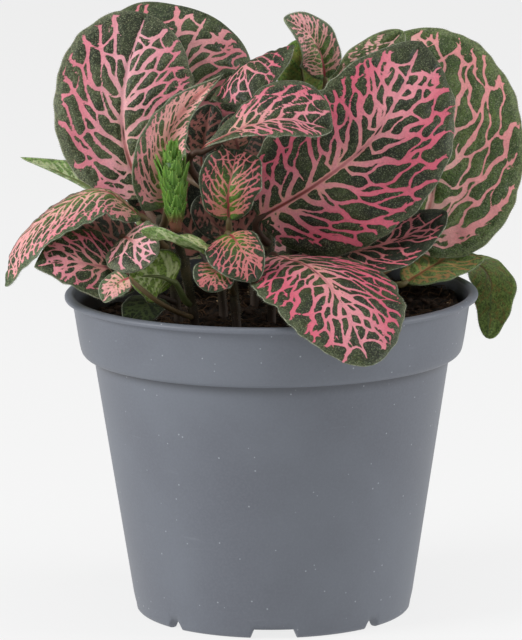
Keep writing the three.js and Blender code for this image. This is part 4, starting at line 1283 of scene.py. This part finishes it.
def notches():
    """The angle and half width of each foot notch, wide and small in turn."""
    return [(math.pi / 4 * k, (SMALL_NOTCH if k % 2 else WIDE_NOTCH) / 2)
            for k in range(NOTCHES)]


def pot_angles():
    """Even steps round the pot, with two more on each side of every notch for its walls."""
    angles = list(np.linspace(0, 2 * math.pi, POT_STEPS, endpoint=False))
    for middle, half in notches():
        for hand in (-1, 1):
            for reach in (half, half - NOTCH_SLOPE):
                turn = middle + hand * math.asin(reach / NOTCH_RADIUS)
                angles.append(turn % (2 * math.pi))
    return np.unique(np.round(angles, 5))


def notch_share(angles):
    """1 inside a foot notch, 0 outside, and a short slope for its walls."""
    share = np.zeros(len(angles))
    for middle, half in notches():
        away = np.abs((angles - middle + math.pi) % (2 * math.pi) - math.pi)
        reach = np.sin(np.minimum(away, 1.5)) * NOTCH_RADIUS
        share = np.maximum(share, np.clip((half - reach) / NOTCH_SLOPE, 0, 1))
    return share


def make_pot(material):
    """The turned outline, its foot raised in the notches, then the drain holes cut."""
    outline, angles = pot_outline(), pot_angles()
    radius = outline[:, 0][:, None] + 0 * angles[None, :]
    height = outline[:, 1][:, None] + 0 * angles[None, :]
    foot = (height < FOOT_HEIGHT) & (np.arange(len(outline)) < len(outline) // 2)[:, None]
    raised = height + (FOOT_HEIGHT - height) * notch_share(angles)[None, :]
    height = np.where(foot, raised, height)
    turn = angles[None, :] - math.pi / 2
    points = np.stack([radius * np.cos(turn), radius * np.sin(turn), height], -1)
    poles = [[0, 0, FOOT_HEIGHT], [0, 0, FOOT_HEIGHT + WALL]]
    every = np.concatenate([points.reshape(-1, 3), poles])
    piece = mesh_object("grey_pot", every, ring_faces(len(outline), len(angles)), material)
    drills = []
    for angle, _ in notches():
        centre = [DRAIN_CIRCLE_RADIUS * math.sin(angle), -DRAIN_CIRCLE_RADIUS * math.cos(angle)]
        line = np.array([[*centre, 0], [*centre, FOOT_HEIGHT + WALL + 4]])
        drills.append(tube(line, [DRAIN_HOLE_RADIUS] * 2, 28, {}))
    points, faces, _ = joined(drills)
    drill = mesh_object("drill", points, faces, material)
    cut = piece.modifiers.new("drain_holes", "BOOLEAN")
    cut.object = drill
    cut.solver = "EXACT"
    graph = bpy.context.evaluated_depsgraph_get()
    mesh = bpy.data.meshes.new_from_object(piece.evaluated_get(graph))
    piece.modifiers.clear()
    piece.data = mesh
    bpy.data.objects.remove(drill)
    return piece


print("angles round the pot:", len(pot_angles()))

# %% [markdown]
# The pot is recycled polypropylene. Ground-up plastic of many colours gives its grey a faint
# mottle with fine pale and dark specks, and the mould leaves a soft matt grain, so highlights
# are wide and dull. Specks could be painted on, but cells of noise spread them evenly for
# nothing: a cell whose own number is high shows a dot at its middle. Handling has scuffed the
# side, and painted shade darkens the inside of the wall under the lip.


# %% Pot plastic
SPECKS = ((340.0, 0.1, 0.4, "#a3a7ad"), (170.0, 0.06, 0.78, "#505459"))


def pot_material():
    """Mottled grey plastic. A speck is the middle of a Voronoi cell, out to a share of its
    size, where the cell's own number is over a limit. The painted shade lies where the height is
    over the soil, and where the radius less a fifth of the height puts a point on the inner wall."""
    material, tree, place = new_material("grey_plastic")
    broad = node(tree, "TexNoise", {"Vector": place, "Scale": 25.0, "Detail": 4.0})
    fine = node(tree, "TexNoise", {"Vector": place, "Scale": 1500.0, "Detail": 2.0})
    specks = []
    for scale, radius, limit, tint in SPECKS:
        far, pick = (node(tree, "TexVoronoi", {"Vector": place, "Scale": scale}, out=out)
                     for out in (0, 1))
        specks.append((tint, (far, radius, radius * 0.6, 0.0, 0.8), (pick, limit, limit + 0.04)))
    stretch = node(tree, "Mapping", {0: place, 3: (1.0, 1.0, 12.0)})
    scuff = node(tree, "TexNoise", {"Vector": stretch, "Scale": 60.0, "Detail": 5.0})
    flat = node(tree, "VectorMath", {0: place, 1: (1.0, 1.0, 0.0)}, operation="MULTIPLY")
    radius = node(tree, "VectorMath", {0: flat}, out=1, operation="LENGTH")
    height = node(tree, "SeparateXYZ", {0: place}, out=2)
    level = node(tree, "Math", {0: broad, 1: 0.004, 2: height}, operation="MULTIPLY_ADD")
    slope = node(tree, "Math", {0: height, 1: -0.2, 2: radius}, operation="MULTIPLY_ADD")
    body = layered(tree, "#62666f", [
        ("#6b7079", (broad, 0.35, 0.7)),
        ("#767b84", (fine, 0.3, 0.8, 0.0, 0.25)),
        *specks,
        ("#80858c", (scuff, 0.66, 0.8, 0.0, 0.3)),
        # painted shade: near-black on the inner wall under the lip
        ("#1d1813", (level, 0.0935, 0.0905), (slope, 0.0389, 0.0387), (height, 0.072, 0.08)),
    ])
    skin = node(tree, "TexNoise", {"Vector": place, "Scale": 2600.0, "Detail": 2.0})
    bump = node(tree, "Bump", {"Strength": 0.12, "Distance": 0.0001, "Height": skin})
    finish_material(tree, {
        "Base Color": body, "Normal": bump, "Specular IOR Level": 0.45,
        "Roughness": node(tree, "MapRange", {"Value": broad, 1: 0.3, 2: 0.7, 3: 0.42, 4: 0.55}),
    })
    return material


pot = make_pot(pot_material())
print("pot faces:", len(pot.data.polygons))
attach(pot, "root")
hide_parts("pot")

# %% [markdown]
# The plant grows in peat, heaped a little to the right, and its top is crumbly. A displaced
# plane would do for the top, but the soil is one closed body down to the pot's base. So its
# top is a disc of rings lifted by noise, and more rings go down the inside of the pot.

# %% Soil body
SOIL_LEVEL = 85
SOIL_BOTTOM = FOOT_HEIGHT + WALL + 0.4
SOIL_RADIUS = 54.5


def soil_height(x, y):
    """The level, a smooth rise to the right, and two slow sine bumps."""
    rise = 5 * smoothstep(5, 50, x + 0.3 * y)
    bumps = 0.8 * np.sin(0.31 * x + 1.2) * np.cos(0.27 * y) + 0.5 * np.sin(0.63 * y + 0.5 * x)
    return SOIL_LEVEL + rise + bumps


def soil_body(rng):
    """Rings of growing radius with crumbs on the height, then the side and the base."""
    rings, spokes = ((76, 300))
    radius = SOIL_RADIUS * (np.arange(1, rings + 1) / rings)
    angle = np.linspace(0, 2 * math.pi, spokes, endpoint=False)
    x = radius[:, None] * np.cos(angle)
    y = radius[:, None] * np.sin(angle)
    flat = np.stack([x, y], -1)
    crumbs = 0.5 * np.abs(waves(flat, 4.5, rng)) + 0.35 * np.abs(waves(flat, 2.2, rng, 8))
    crumbs += rng.uniform(-0.25, 0.35, x.shape) * smoothstep(0, 6, radius)[:, None]
    top = np.stack([x, y, soil_height(x, y) + crumbs - 0.4], -1)
    sides = [[53.5, 79.4], [50.4, 77.7], [49.7, 74.5], [38.8, 5.6], [37.8, SOIL_BOTTOM]]
    walls = [np.stack([r * np.cos(angle), r * np.sin(angle), np.full(spokes, z)], -1)
             for r, z in sides]
    skin = np.concatenate([top, np.array(walls)])[::-1]
    poles = [[0, 0, SOIL_BOTTOM], [0, 0, float(soil_height(0, 0))]]
    every = np.concatenate([skin.reshape(-1, 3), poles])
    return every, ring_faces(len(skin), spokes), {"bit": np.zeros(len(every))}


print("soil level in mm, at the left and right:", soil_height(np.array([-40, 40]), 0).round(1))

# %% [markdown]
# Lumps of many sizes, short brown roots and bits of bark lie on the peat. Particles could
# scatter them, but particles are lost when the model is exported, so they are real meshes:
# lumps are small rough balls and fibres thin bent tubes.

# %% Litter
LITTER_RADIUS = 52
PALE_BITS = 26


def lumps(centres, sizes, rng, value):
    """Small rough stones: each a ball of three rings of seven points, jittered."""
    parts = []
    for centre, size in zip(centres, sizes):
        tilt = rng.uniform(0, 3.14)
        turn = np.linspace(0, 2 * math.pi, 7, endpoint=False) + tilt
        lift = np.array([-0.6, 0.0, 0.6])
        ring = np.stack([np.cos(turn), np.sin(turn)], -1)
        spread = np.sqrt(1 - lift ** 2)[:, None, None] * ring[None]
        points = np.concatenate([spread, np.broadcast_to(lift[:, None, None], (3, 7, 1))], -1)
        points = points.reshape(-1, 3) * rng.uniform(0.7, 1.25, (21, 1)) * size
        points = points * [1.0, rng.uniform(0.6, 1.0), rng.uniform(0.5, 0.9)]
        poles = np.array([[0, 0, -0.7], [0, 0, 0.7]]) * size
        every = np.concatenate([points, poles]) + centre
        parts.append((every, ring_faces(3, 7), {"bit": np.full(len(every), value)}))
    return parts


def fibres(count, rng, value):
    """Thin bent roots and bark threads lying over the soil."""
    parts = []
    for _ in range(count):
        radius = LITTER_RADIUS * math.sqrt(rng.uniform(0.02, 1))
        angle = rng.uniform(0, 2 * math.pi)
        start = np.array([radius * math.cos(angle), radius * math.sin(angle)])
        heading = rng.uniform(0, 2 * math.pi)
        t = np.linspace(0, 1, 7)
        bend = rng.uniform(-1.6, 1.6)
        length = rng.uniform(3, 11)
        way = start + length * np.stack([np.cos(heading + bend * t) * t,
                                         np.sin(heading + bend * t) * t], 1)
        way *= np.minimum(1, 52.5 / np.maximum(np.linalg.norm(way, axis=1), 1))[:, None]
        lift = soil_height(way[:, 0], way[:, 1]) + 0.4 + rng.uniform(0, 1.6) * np.sin(3.1 * t)
        line = np.concatenate([way, lift[:, None]], 1)
        thick = rng.uniform(0.09, 0.26)
        parts.append(tube(line, thick * (1 - 0.6 * t), 4, {"bit": value}))
    return parts


def make_soil(material):
    """The soil's body with its fibres and lumps on top."""
    rng = np.random.default_rng(7)
    parts = [soil_body(rng)]
    spots = rng.uniform(-LITTER_RADIUS, LITTER_RADIUS, (900, 2))
    spots = spots[np.hypot(spots[:, 0], spots[:, 1]) < LITTER_RADIUS][:620]
    level = soil_height(spots[:, 0], spots[:, 1]) + 0.3
    centres = np.concatenate([spots, level[:, None]], 1)
    dark, pale = centres[:-PALE_BITS], centres[-PALE_BITS:]
    parts += lumps(dark, rng.uniform(0.4, 1.5, len(dark)), rng, 0.3)
    parts += lumps(pale, rng.uniform(0.5, 1.3, PALE_BITS), rng, 1.0)
    parts += fibres(330, rng, 0.6)
    points, faces, attributes = joined(parts)
    return mesh_object("crumbly_soil", points, faces, material, attributes)


print("lumps on the soil:", 620, "of them pale:", PALE_BITS)

# %% [markdown]
# Moist peat is nearly black with brown in it, roots and bark are lighter, and a few bits of
# perlite or old bark are tan. Each bit could have a material of its own, but then the soil
# would be many pieces. So every vertex carries a number for its kind of bit, and the tints
# come in by that number.


# %% Peat
def soil_material():
    """Nearly black peat, brown where lumps or fibres are, and tan on the pale bits."""
    material, tree, place = new_material("peat_soil")
    bit = node(tree, "Attribute", {}, out=2, attribute_name="bit")
    crumb = node(tree, "TexNoise", {"Vector": place, "Scale": 700.0, "Detail": 6.0})
    body = layered(tree, "#100c09", [
        ("#33261b", (crumb, 0.35, 0.7)),
        ("#33241a", (bit, 0.1, 0.3, 0.0, 0.6)),
        ("#4f3a27", (bit, 0.45, 0.6, 0.0, 0.85)),
        ("#a88d6c", (bit, 0.8, 1.0, 0.0, 0.9)),
    ])
    grain = node(tree, "TexNoise", {"Vector": place, "Scale": 1800.0, "Detail": 4.0})
    bump = node(tree, "Bump", {"Strength": 0.8, "Distance": 0.0004, "Height": grain})
    finish_material(tree, {
        "Base Color": body, "Normal": bump, "Specular IOR Level": 0.2,
        "Roughness": node(tree, "MapRange", {"Value": crumb, 1: 0.3, 2: 0.7, 3: 0.8, 4: 1.0}),
    })
    return material


soil = make_soil(soil_material())
print("soil faces:", len(soil.data.polygons))
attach(soil, "root")
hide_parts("soil")

# %% [markdown]
# A nerve plant's stems are soft, green to brown, a little swollen at each joint where leaves
# were, and covered in down. Hair curves would be quick to comb but the export drops them, so
# each hair is a thin three-sided cone and each stem a tube whose radius swells at its joints.

# %% Stems
STEM_FOOT = 74
JOINT_GAP = 11


def stem_line(name):
    """The stem's line at even steps, carried straight down into the soil."""
    line = curve_points(STEMS[name], np.linspace(0, 1, 40))
    foot = np.array([[*line[0, :2], z] for z in np.linspace(STEM_FOOT, line[0, 2] - 1, 8)])
    return np.concatenate([foot, line])


def make_stem(name, material, rng):
    """A tube with joints every 11 mm or so and hairs that point out and up."""
    line = stem_line(name)
    height = line[:, 2] - 88 + rng.uniform(0, 8)
    joint = 0.5 + 0.5 * np.cos(height * 2 * math.pi / JOINT_GAP)
    radii = STEM_RADIUS * (0.86 + 0.16 * joint ** 6)
    radii[-1] *= 0.7
    body = tube(line, radii, 14, {"fuzz": 0.0})
    count = 420
    spots = rng.integers(9, len(line) - 1, count)
    turn = rng.uniform(0, 2 * math.pi, count)
    out = np.stack([np.cos(turn), np.sin(turn), rng.uniform(0.1, 0.7, count)], 1)
    roots = line[spots] + (line[spots + 1] - line[spots]) * rng.random((count, 1))
    roots = roots + unit(out * [1, 1, 0]) * STEM_RADIUS * 0.85
    down = hairs(roots, out, rng.uniform(0.4, 1.0, count), HAIR_RADIUS, 1.0)
    points, faces, attributes = joined([body, down])
    return mesh_object("downy_stem_" + name, points, faces, material, attributes)


def stem_material():
    """Green stems that turn brown at the soil, with pale hairs."""
    material, tree, place = new_material("downy_stem")
    fuzz = node(tree, "Attribute", {}, out=2, attribute_name="fuzz")
    height = node(tree, "SeparateXYZ", {0: place}, out=2)
    streak = node(tree, "TexNoise", {"Vector": place, "Scale": 380.0, "Detail": 4.0})
    body = layered(tree, "#37341e", [
        ("#524a2c", (streak, 0.35, 0.7)),
        ("#3a2b1f", (height, 0.1, 0.088)),
        # partly the stems' own red-brown and partly painted shade: darker high up inside the leaves
        ("#4d3429", (height, 0.115, 0.15, 0.0, 0.7)),
        ("#9a9174", (fuzz, 0.0, 1.0, 0.0, 0.7)),
    ])
    bump = node(tree, "Bump", {"Strength": 0.3, "Distance": 0.0002, "Height": streak})
    finish_material(tree, {"Base Color": body, "Normal": bump, "Roughness": 0.7,
                           "Subsurface Weight": 0.05, "Subsurface Scale": 0.001})
    return material


STEM_SKIN = stem_material()
for number, name in enumerate(STEMS):
    stem = make_stem(name, STEM_SKIN, np.random.default_rng(40 + number))
    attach(stem, "root")
    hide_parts("stem_" + name)
print("stems:", len(STEMS), "faces each:", len(stem.data.polygons))

# %% [markdown]
# The flower spike is a bud of green bracts that overlap upwards, wider and looser towards the
# top, where their tips stand out ragged. It could be one lump with a bumpy skin, but its
# outline is sawn, so each bract is a curved sheet with teeth on its edges, and bristles stand
# on the teeth.

# %% Flower spike
SPIKE_FOOT = np.array([-27.0, -26.0, 116.0])
SPIKE_HEIGHT = 29
SPIKE_LEAN = unit(np.array([-0.04, -0.06, 1.0]))
SPIKE_TIERS = 9
BRACTS_PER_TIER = 4
BRACT_ROWS = 33
BRACT_COLUMNS = 11
BRACT_LENGTH = 9.4
BRACT_HALF_WIDTH = 2.4


def bract(tier, row, rng):
    """A curved sheet: at u up its length and v across, it stands off the core by a bow that is
    sin(1.9 u) high, its half width is sin(pi u^0.7)^0.8, drawn out to a point, and a saw wave
    along u pushes its edges out into teeth."""
    t = tier / (SPIKE_TIERS - 1)
    grow = (0.62 + 0.4 * t) * rng.uniform(0.92, 1.05)
    angle = math.pi / 2 * row + (math.pi / 4 if tier % 2 else 0) + 0.3 + rng.uniform(-0.4, 0.4)
    out = np.array([math.cos(angle), math.sin(angle), 0])
    side = np.array([-math.sin(angle), math.cos(angle), 0])
    u = np.linspace(0, 1, BRACT_ROWS)[:, None]
    v = np.linspace(-1, 1, BRACT_COLUMNS)[None, :]
    width = BRACT_HALF_WIDTH * grow * (np.sin(math.pi * u ** 0.7) ** 0.8 * (1 - 0.25 * u) + 0.05)
    teeth = (u * BRACT_ROWS / 4) % 1
    width = width + 0.55 * grow * teeth * smoothstep(0.1, 0.4, u) * np.abs(v) ** 3
    wrap = 0.62 * v * np.minimum(width / 2.7, 1.2)
    stand = (1.3 + 2.3 * np.sin(1.9 * u) + 1.5 * u ** 3 * rng.uniform(0.4, 1.2)) * grow
    stand *= 1 - 0.7 * smoothstep(0.9, 1.25, t)
    ridge = 0.3 * np.exp(-(v / 0.16) ** 2) + 0.12 * np.cos(9 * v) * np.sin(math.pi * u)
    centre = SPIKE_FOOT + SPIKE_LEAN * (SPIKE_HEIGHT * (0.04 + 0.38 * t))
    top = (centre + out * ((stand * np.cos(wrap) + ridge)[..., None])
           + side * (v * width + rng.uniform(-0.5, 0.5) * u ** 2)[..., None]
           + SPIKE_LEAN * (BRACT_LENGTH * grow * u + 0.5 * teeth * np.abs(v) ** 3)[..., None])
    around = np.concatenate([top, (top - out * 0.3)[:, ::-1][:, 1:-1]], 1)
    poles = [top[0, BRACT_COLUMNS // 2] - SPIKE_LEAN * 0.1,
             top[-1, BRACT_COLUMNS // 2] + SPIKE_LEAN * 0.9 * grow + out * 0.2]
    points = np.concatenate([around[1:].reshape(-1, 3), poles])
    round_v = np.abs(np.concatenate([v[0], v[0, ::-1][1:-1]]))
    values = {"tip": np.concatenate([np.repeat(u[1:, 0], around.shape[1]), [0, 1]]),
              "rim": np.concatenate([np.tile(round_v, BRACT_ROWS - 1), [0, 1]]),
              "fuzz": np.zeros(len(points))}
    crests = np.arange(7, BRACT_ROWS - 1, 2)
    roots = np.concatenate([top[crests, 0], top[crests, -1], top[crests, BRACT_COLUMNS // 2]])
    leans = np.repeat([-side, side, out], len(crests), axis=0)
    leans = leans + SPIKE_LEAN * 1.5 + rng.normal(0, 0.25, leans.shape)
    down = hairs(roots, leans, rng.uniform(0.4, 1.0, len(roots)), 0.06, 1.0)
    bristles = {"tip": np.full(len(down[0]), 0.9), "rim": np.ones(len(down[0])), **down[2]}
    return [(points, ring_faces(BRACT_ROWS - 1, around.shape[1]), values),
            (down[0], down[1], bristles)]


def make_spike(material):
    """A core and the tiers of bracts, two more than the height was reckoned with."""
    rng = np.random.default_rng(5)
    share = np.linspace(0, 0.7, 14)
    line = SPIKE_FOOT + SPIKE_LEAN * (SPIKE_HEIGHT * share)[:, None]
    parts = [tube(line, 1.0 + 1.7 * np.sin(math.pi * (share * 0.75 + 0.12)), 10,
                  {"tip": 0.0, "rim": 0.0, "fuzz": 0.0})]
    for tier in range(SPIKE_TIERS + 2):
        for row in range(BRACTS_PER_TIER):
            parts += bract(tier, row, rng)
    points, faces, values = joined(parts)
    return mesh_object("bract_spike", points, faces, material, values)


print("bracts:", BRACTS_PER_TIER * (SPIKE_TIERS + 2))

# %% [markdown]
# A bract is fresh green towards its tip and darker towards its foot, and has a paler thin edge;
# both are partly its own colour and partly painted: painted shade where the bracts overlap, and
# painted light coming through the edge. The spike's own foot is brown like a stem. Vertices
# carry the way up each bract and the way to its edge, so the tints follow every bract by itself.


# %% Bract finish
def bract_material():
    """Fresh green bracts, darker at the foot, with pale hairs on their edges."""
    material, tree, place = new_material("green_bracts")
    tip, rim, fuzz = (node(tree, "Attribute", {}, out=2, attribute_name=key)
                      for key in ("tip", "rim", "fuzz"))
    height = node(tree, "SeparateXYZ", {0: place}, out=2)
    blotch = node(tree, "TexNoise", {"Vector": place, "Scale": 420.0, "Detail": 4.0})
    body = layered(tree, "#2b4d15", [
        # lighter towards the tip: partly its own colour, partly painted shade at the bract's
        # covered foot
        ("#5a8428", (tip, 0.1, 0.8)),
        # paler thin edge: partly its own colour, partly painted light coming through
        ("#86ab4a", (rim, 0.72, 1.0, 0.0, 0.6)),
        ("#3b6a1c", (blotch, 0.4, 0.7, 0.0, 0.5)),
        ("#6e4534", (height, 0.1225, 0.1185)),
        ("#9fcf78", (fuzz, 0.0, 1.0, 0.0, 0.5)),
    ])
    bump = node(tree, "Bump", {"Strength": 0.3, "Distance": 0.0002, "Height": blotch})
    finish_material(tree, {
        "Base Color": body, "Normal": bump,
        "Roughness": node(tree, "MapRange", {"Value": blotch, 1: 0.3, 2: 0.7, 3: 0.4, 4: 0.6}),
        "Subsurface Weight": 0.08, "Subsurface Scale": 0.001,
    })
    return material


spike = make_spike(bract_material())
print("spike faces:", len(spike.data.polygons))
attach(spike, "root")
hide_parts("flower_spike")

# %% [markdown]
# The pot stands in a photographer's tent, on a pale sheet that fills the picture. A white
# world behind it would do, but then nothing would lie under the pot. So the sheet is real, and
# glows faintly so that it stays nearly white where the lamps fall off.


# %% Floor
FLOOR_TONE = 0.12
FLOOR_GLOW = 0.93
FLOOR_HALF = 3000


def make_floor():
    """A wide flat sheet, 0.02 mm under the pot's foot, with a faint grain."""
    side = np.linspace(-FLOOR_HALF, FLOOR_HALF, 31)
    x, y = np.meshgrid(side, side, indexing="ij")
    points = np.stack([x.ravel(), y.ravel(), np.full(x.size, -0.02)], 1)
    row = np.arange(30)[:, None] * 31 + np.arange(30)[None, :]
    faces = np.stack([row, row + 31, row + 32, row + 1], -1).reshape(-1, 4)
    material, tree, place = new_material("floor_paper")
    grain = node(tree, "TexNoise", {"Vector": place, "Scale": 300.0, "Detail": 2.0})
    shade = node(tree, "MapRange", {"Value": grain, 3: FLOOR_TONE * 0.98, 4: FLOOR_TONE * 1.02})
    finish_material(tree, {
        "Base Color": node(tree, "CombineColor", {0: shade, 1: shade, 2: shade}),
        "Roughness": 1.0, "Specular IOR Level": 0.0,
        "Emission Color": "#efefef", "Emission Strength": FLOOR_GLOW,
    })
    floor = mesh_object("floor", points, [faces], material)
    floor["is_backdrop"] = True


make_floor()
print("floor:", 2 * FLOOR_HALF * MM, "m wide")

# %% [markdown]
# Soft lamps on both sides leave hardly any shadow. A white world alone would light the plant as
# evenly, but the pot's round side would look flat. So a strong square lamp stands high on the
# left, a weaker one on the right and one above, and the world adds a little from all round.


# %% Lights
WORLD_STRENGTH = 0.3


def area_light(name, place, target, size, power):
    """A square soft light at a place, turned towards a target."""
    data = bpy.data.lights.new(name, "AREA")
    data.size = size
    data.energy = power
    light = bpy.data.objects.new(name, data)
    bpy.context.scene.collection.objects.link(light)
    back = unit(np.array(place, dtype=float) - np.array(target))
    side = unit(np.cross([0, 0, 1.0], back))
    matrix = np.eye(4)
    matrix[:3, 0], matrix[:3, 1], matrix[:3, 2] = side, np.cross(back, side), back
    matrix[:3, 3] = place
    light.matrix_world = matrix.T.tolist()


for name, place, size, power in (("key_light", (-1.1, -0.5, 0.65), 0.6, 14),
                                 ("fill_light", (1.1, -0.1, 0.5), 0.6, 6.5),
                                 ("top_light", (0.1, -0.2, 1.25), 0.8, 4)):
    area_light(name, place, (0, 0, 0.1), size, power)
world = bpy.data.worlds.new("studio")
world.use_nodes = True
background = world.node_tree.nodes["Background"]
background.inputs["Color"].default_value = (1, 1, 1, 1)
background.inputs["Strength"].default_value = WORLD_STRENGTH
bpy.context.scene.world = world
bpy.context.scene.view_settings.view_transform = "Standard"
print("lamps:", len(bpy.data.lights), "world strength:", WORLD_STRENGTH)

# %% [markdown]
# Last, the finished model is measured. Its box could be read off in the window, but written
# beside the frame's it shows at once whether a fine piece has outgrown the plain one it
# replaces.

# %% Finish
new_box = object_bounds()
growth = np.abs(np.subtract(new_box, frame_box)).max()
print("model grows past the frame by:", growth.round(4), "m")
print("model box:", new_box)
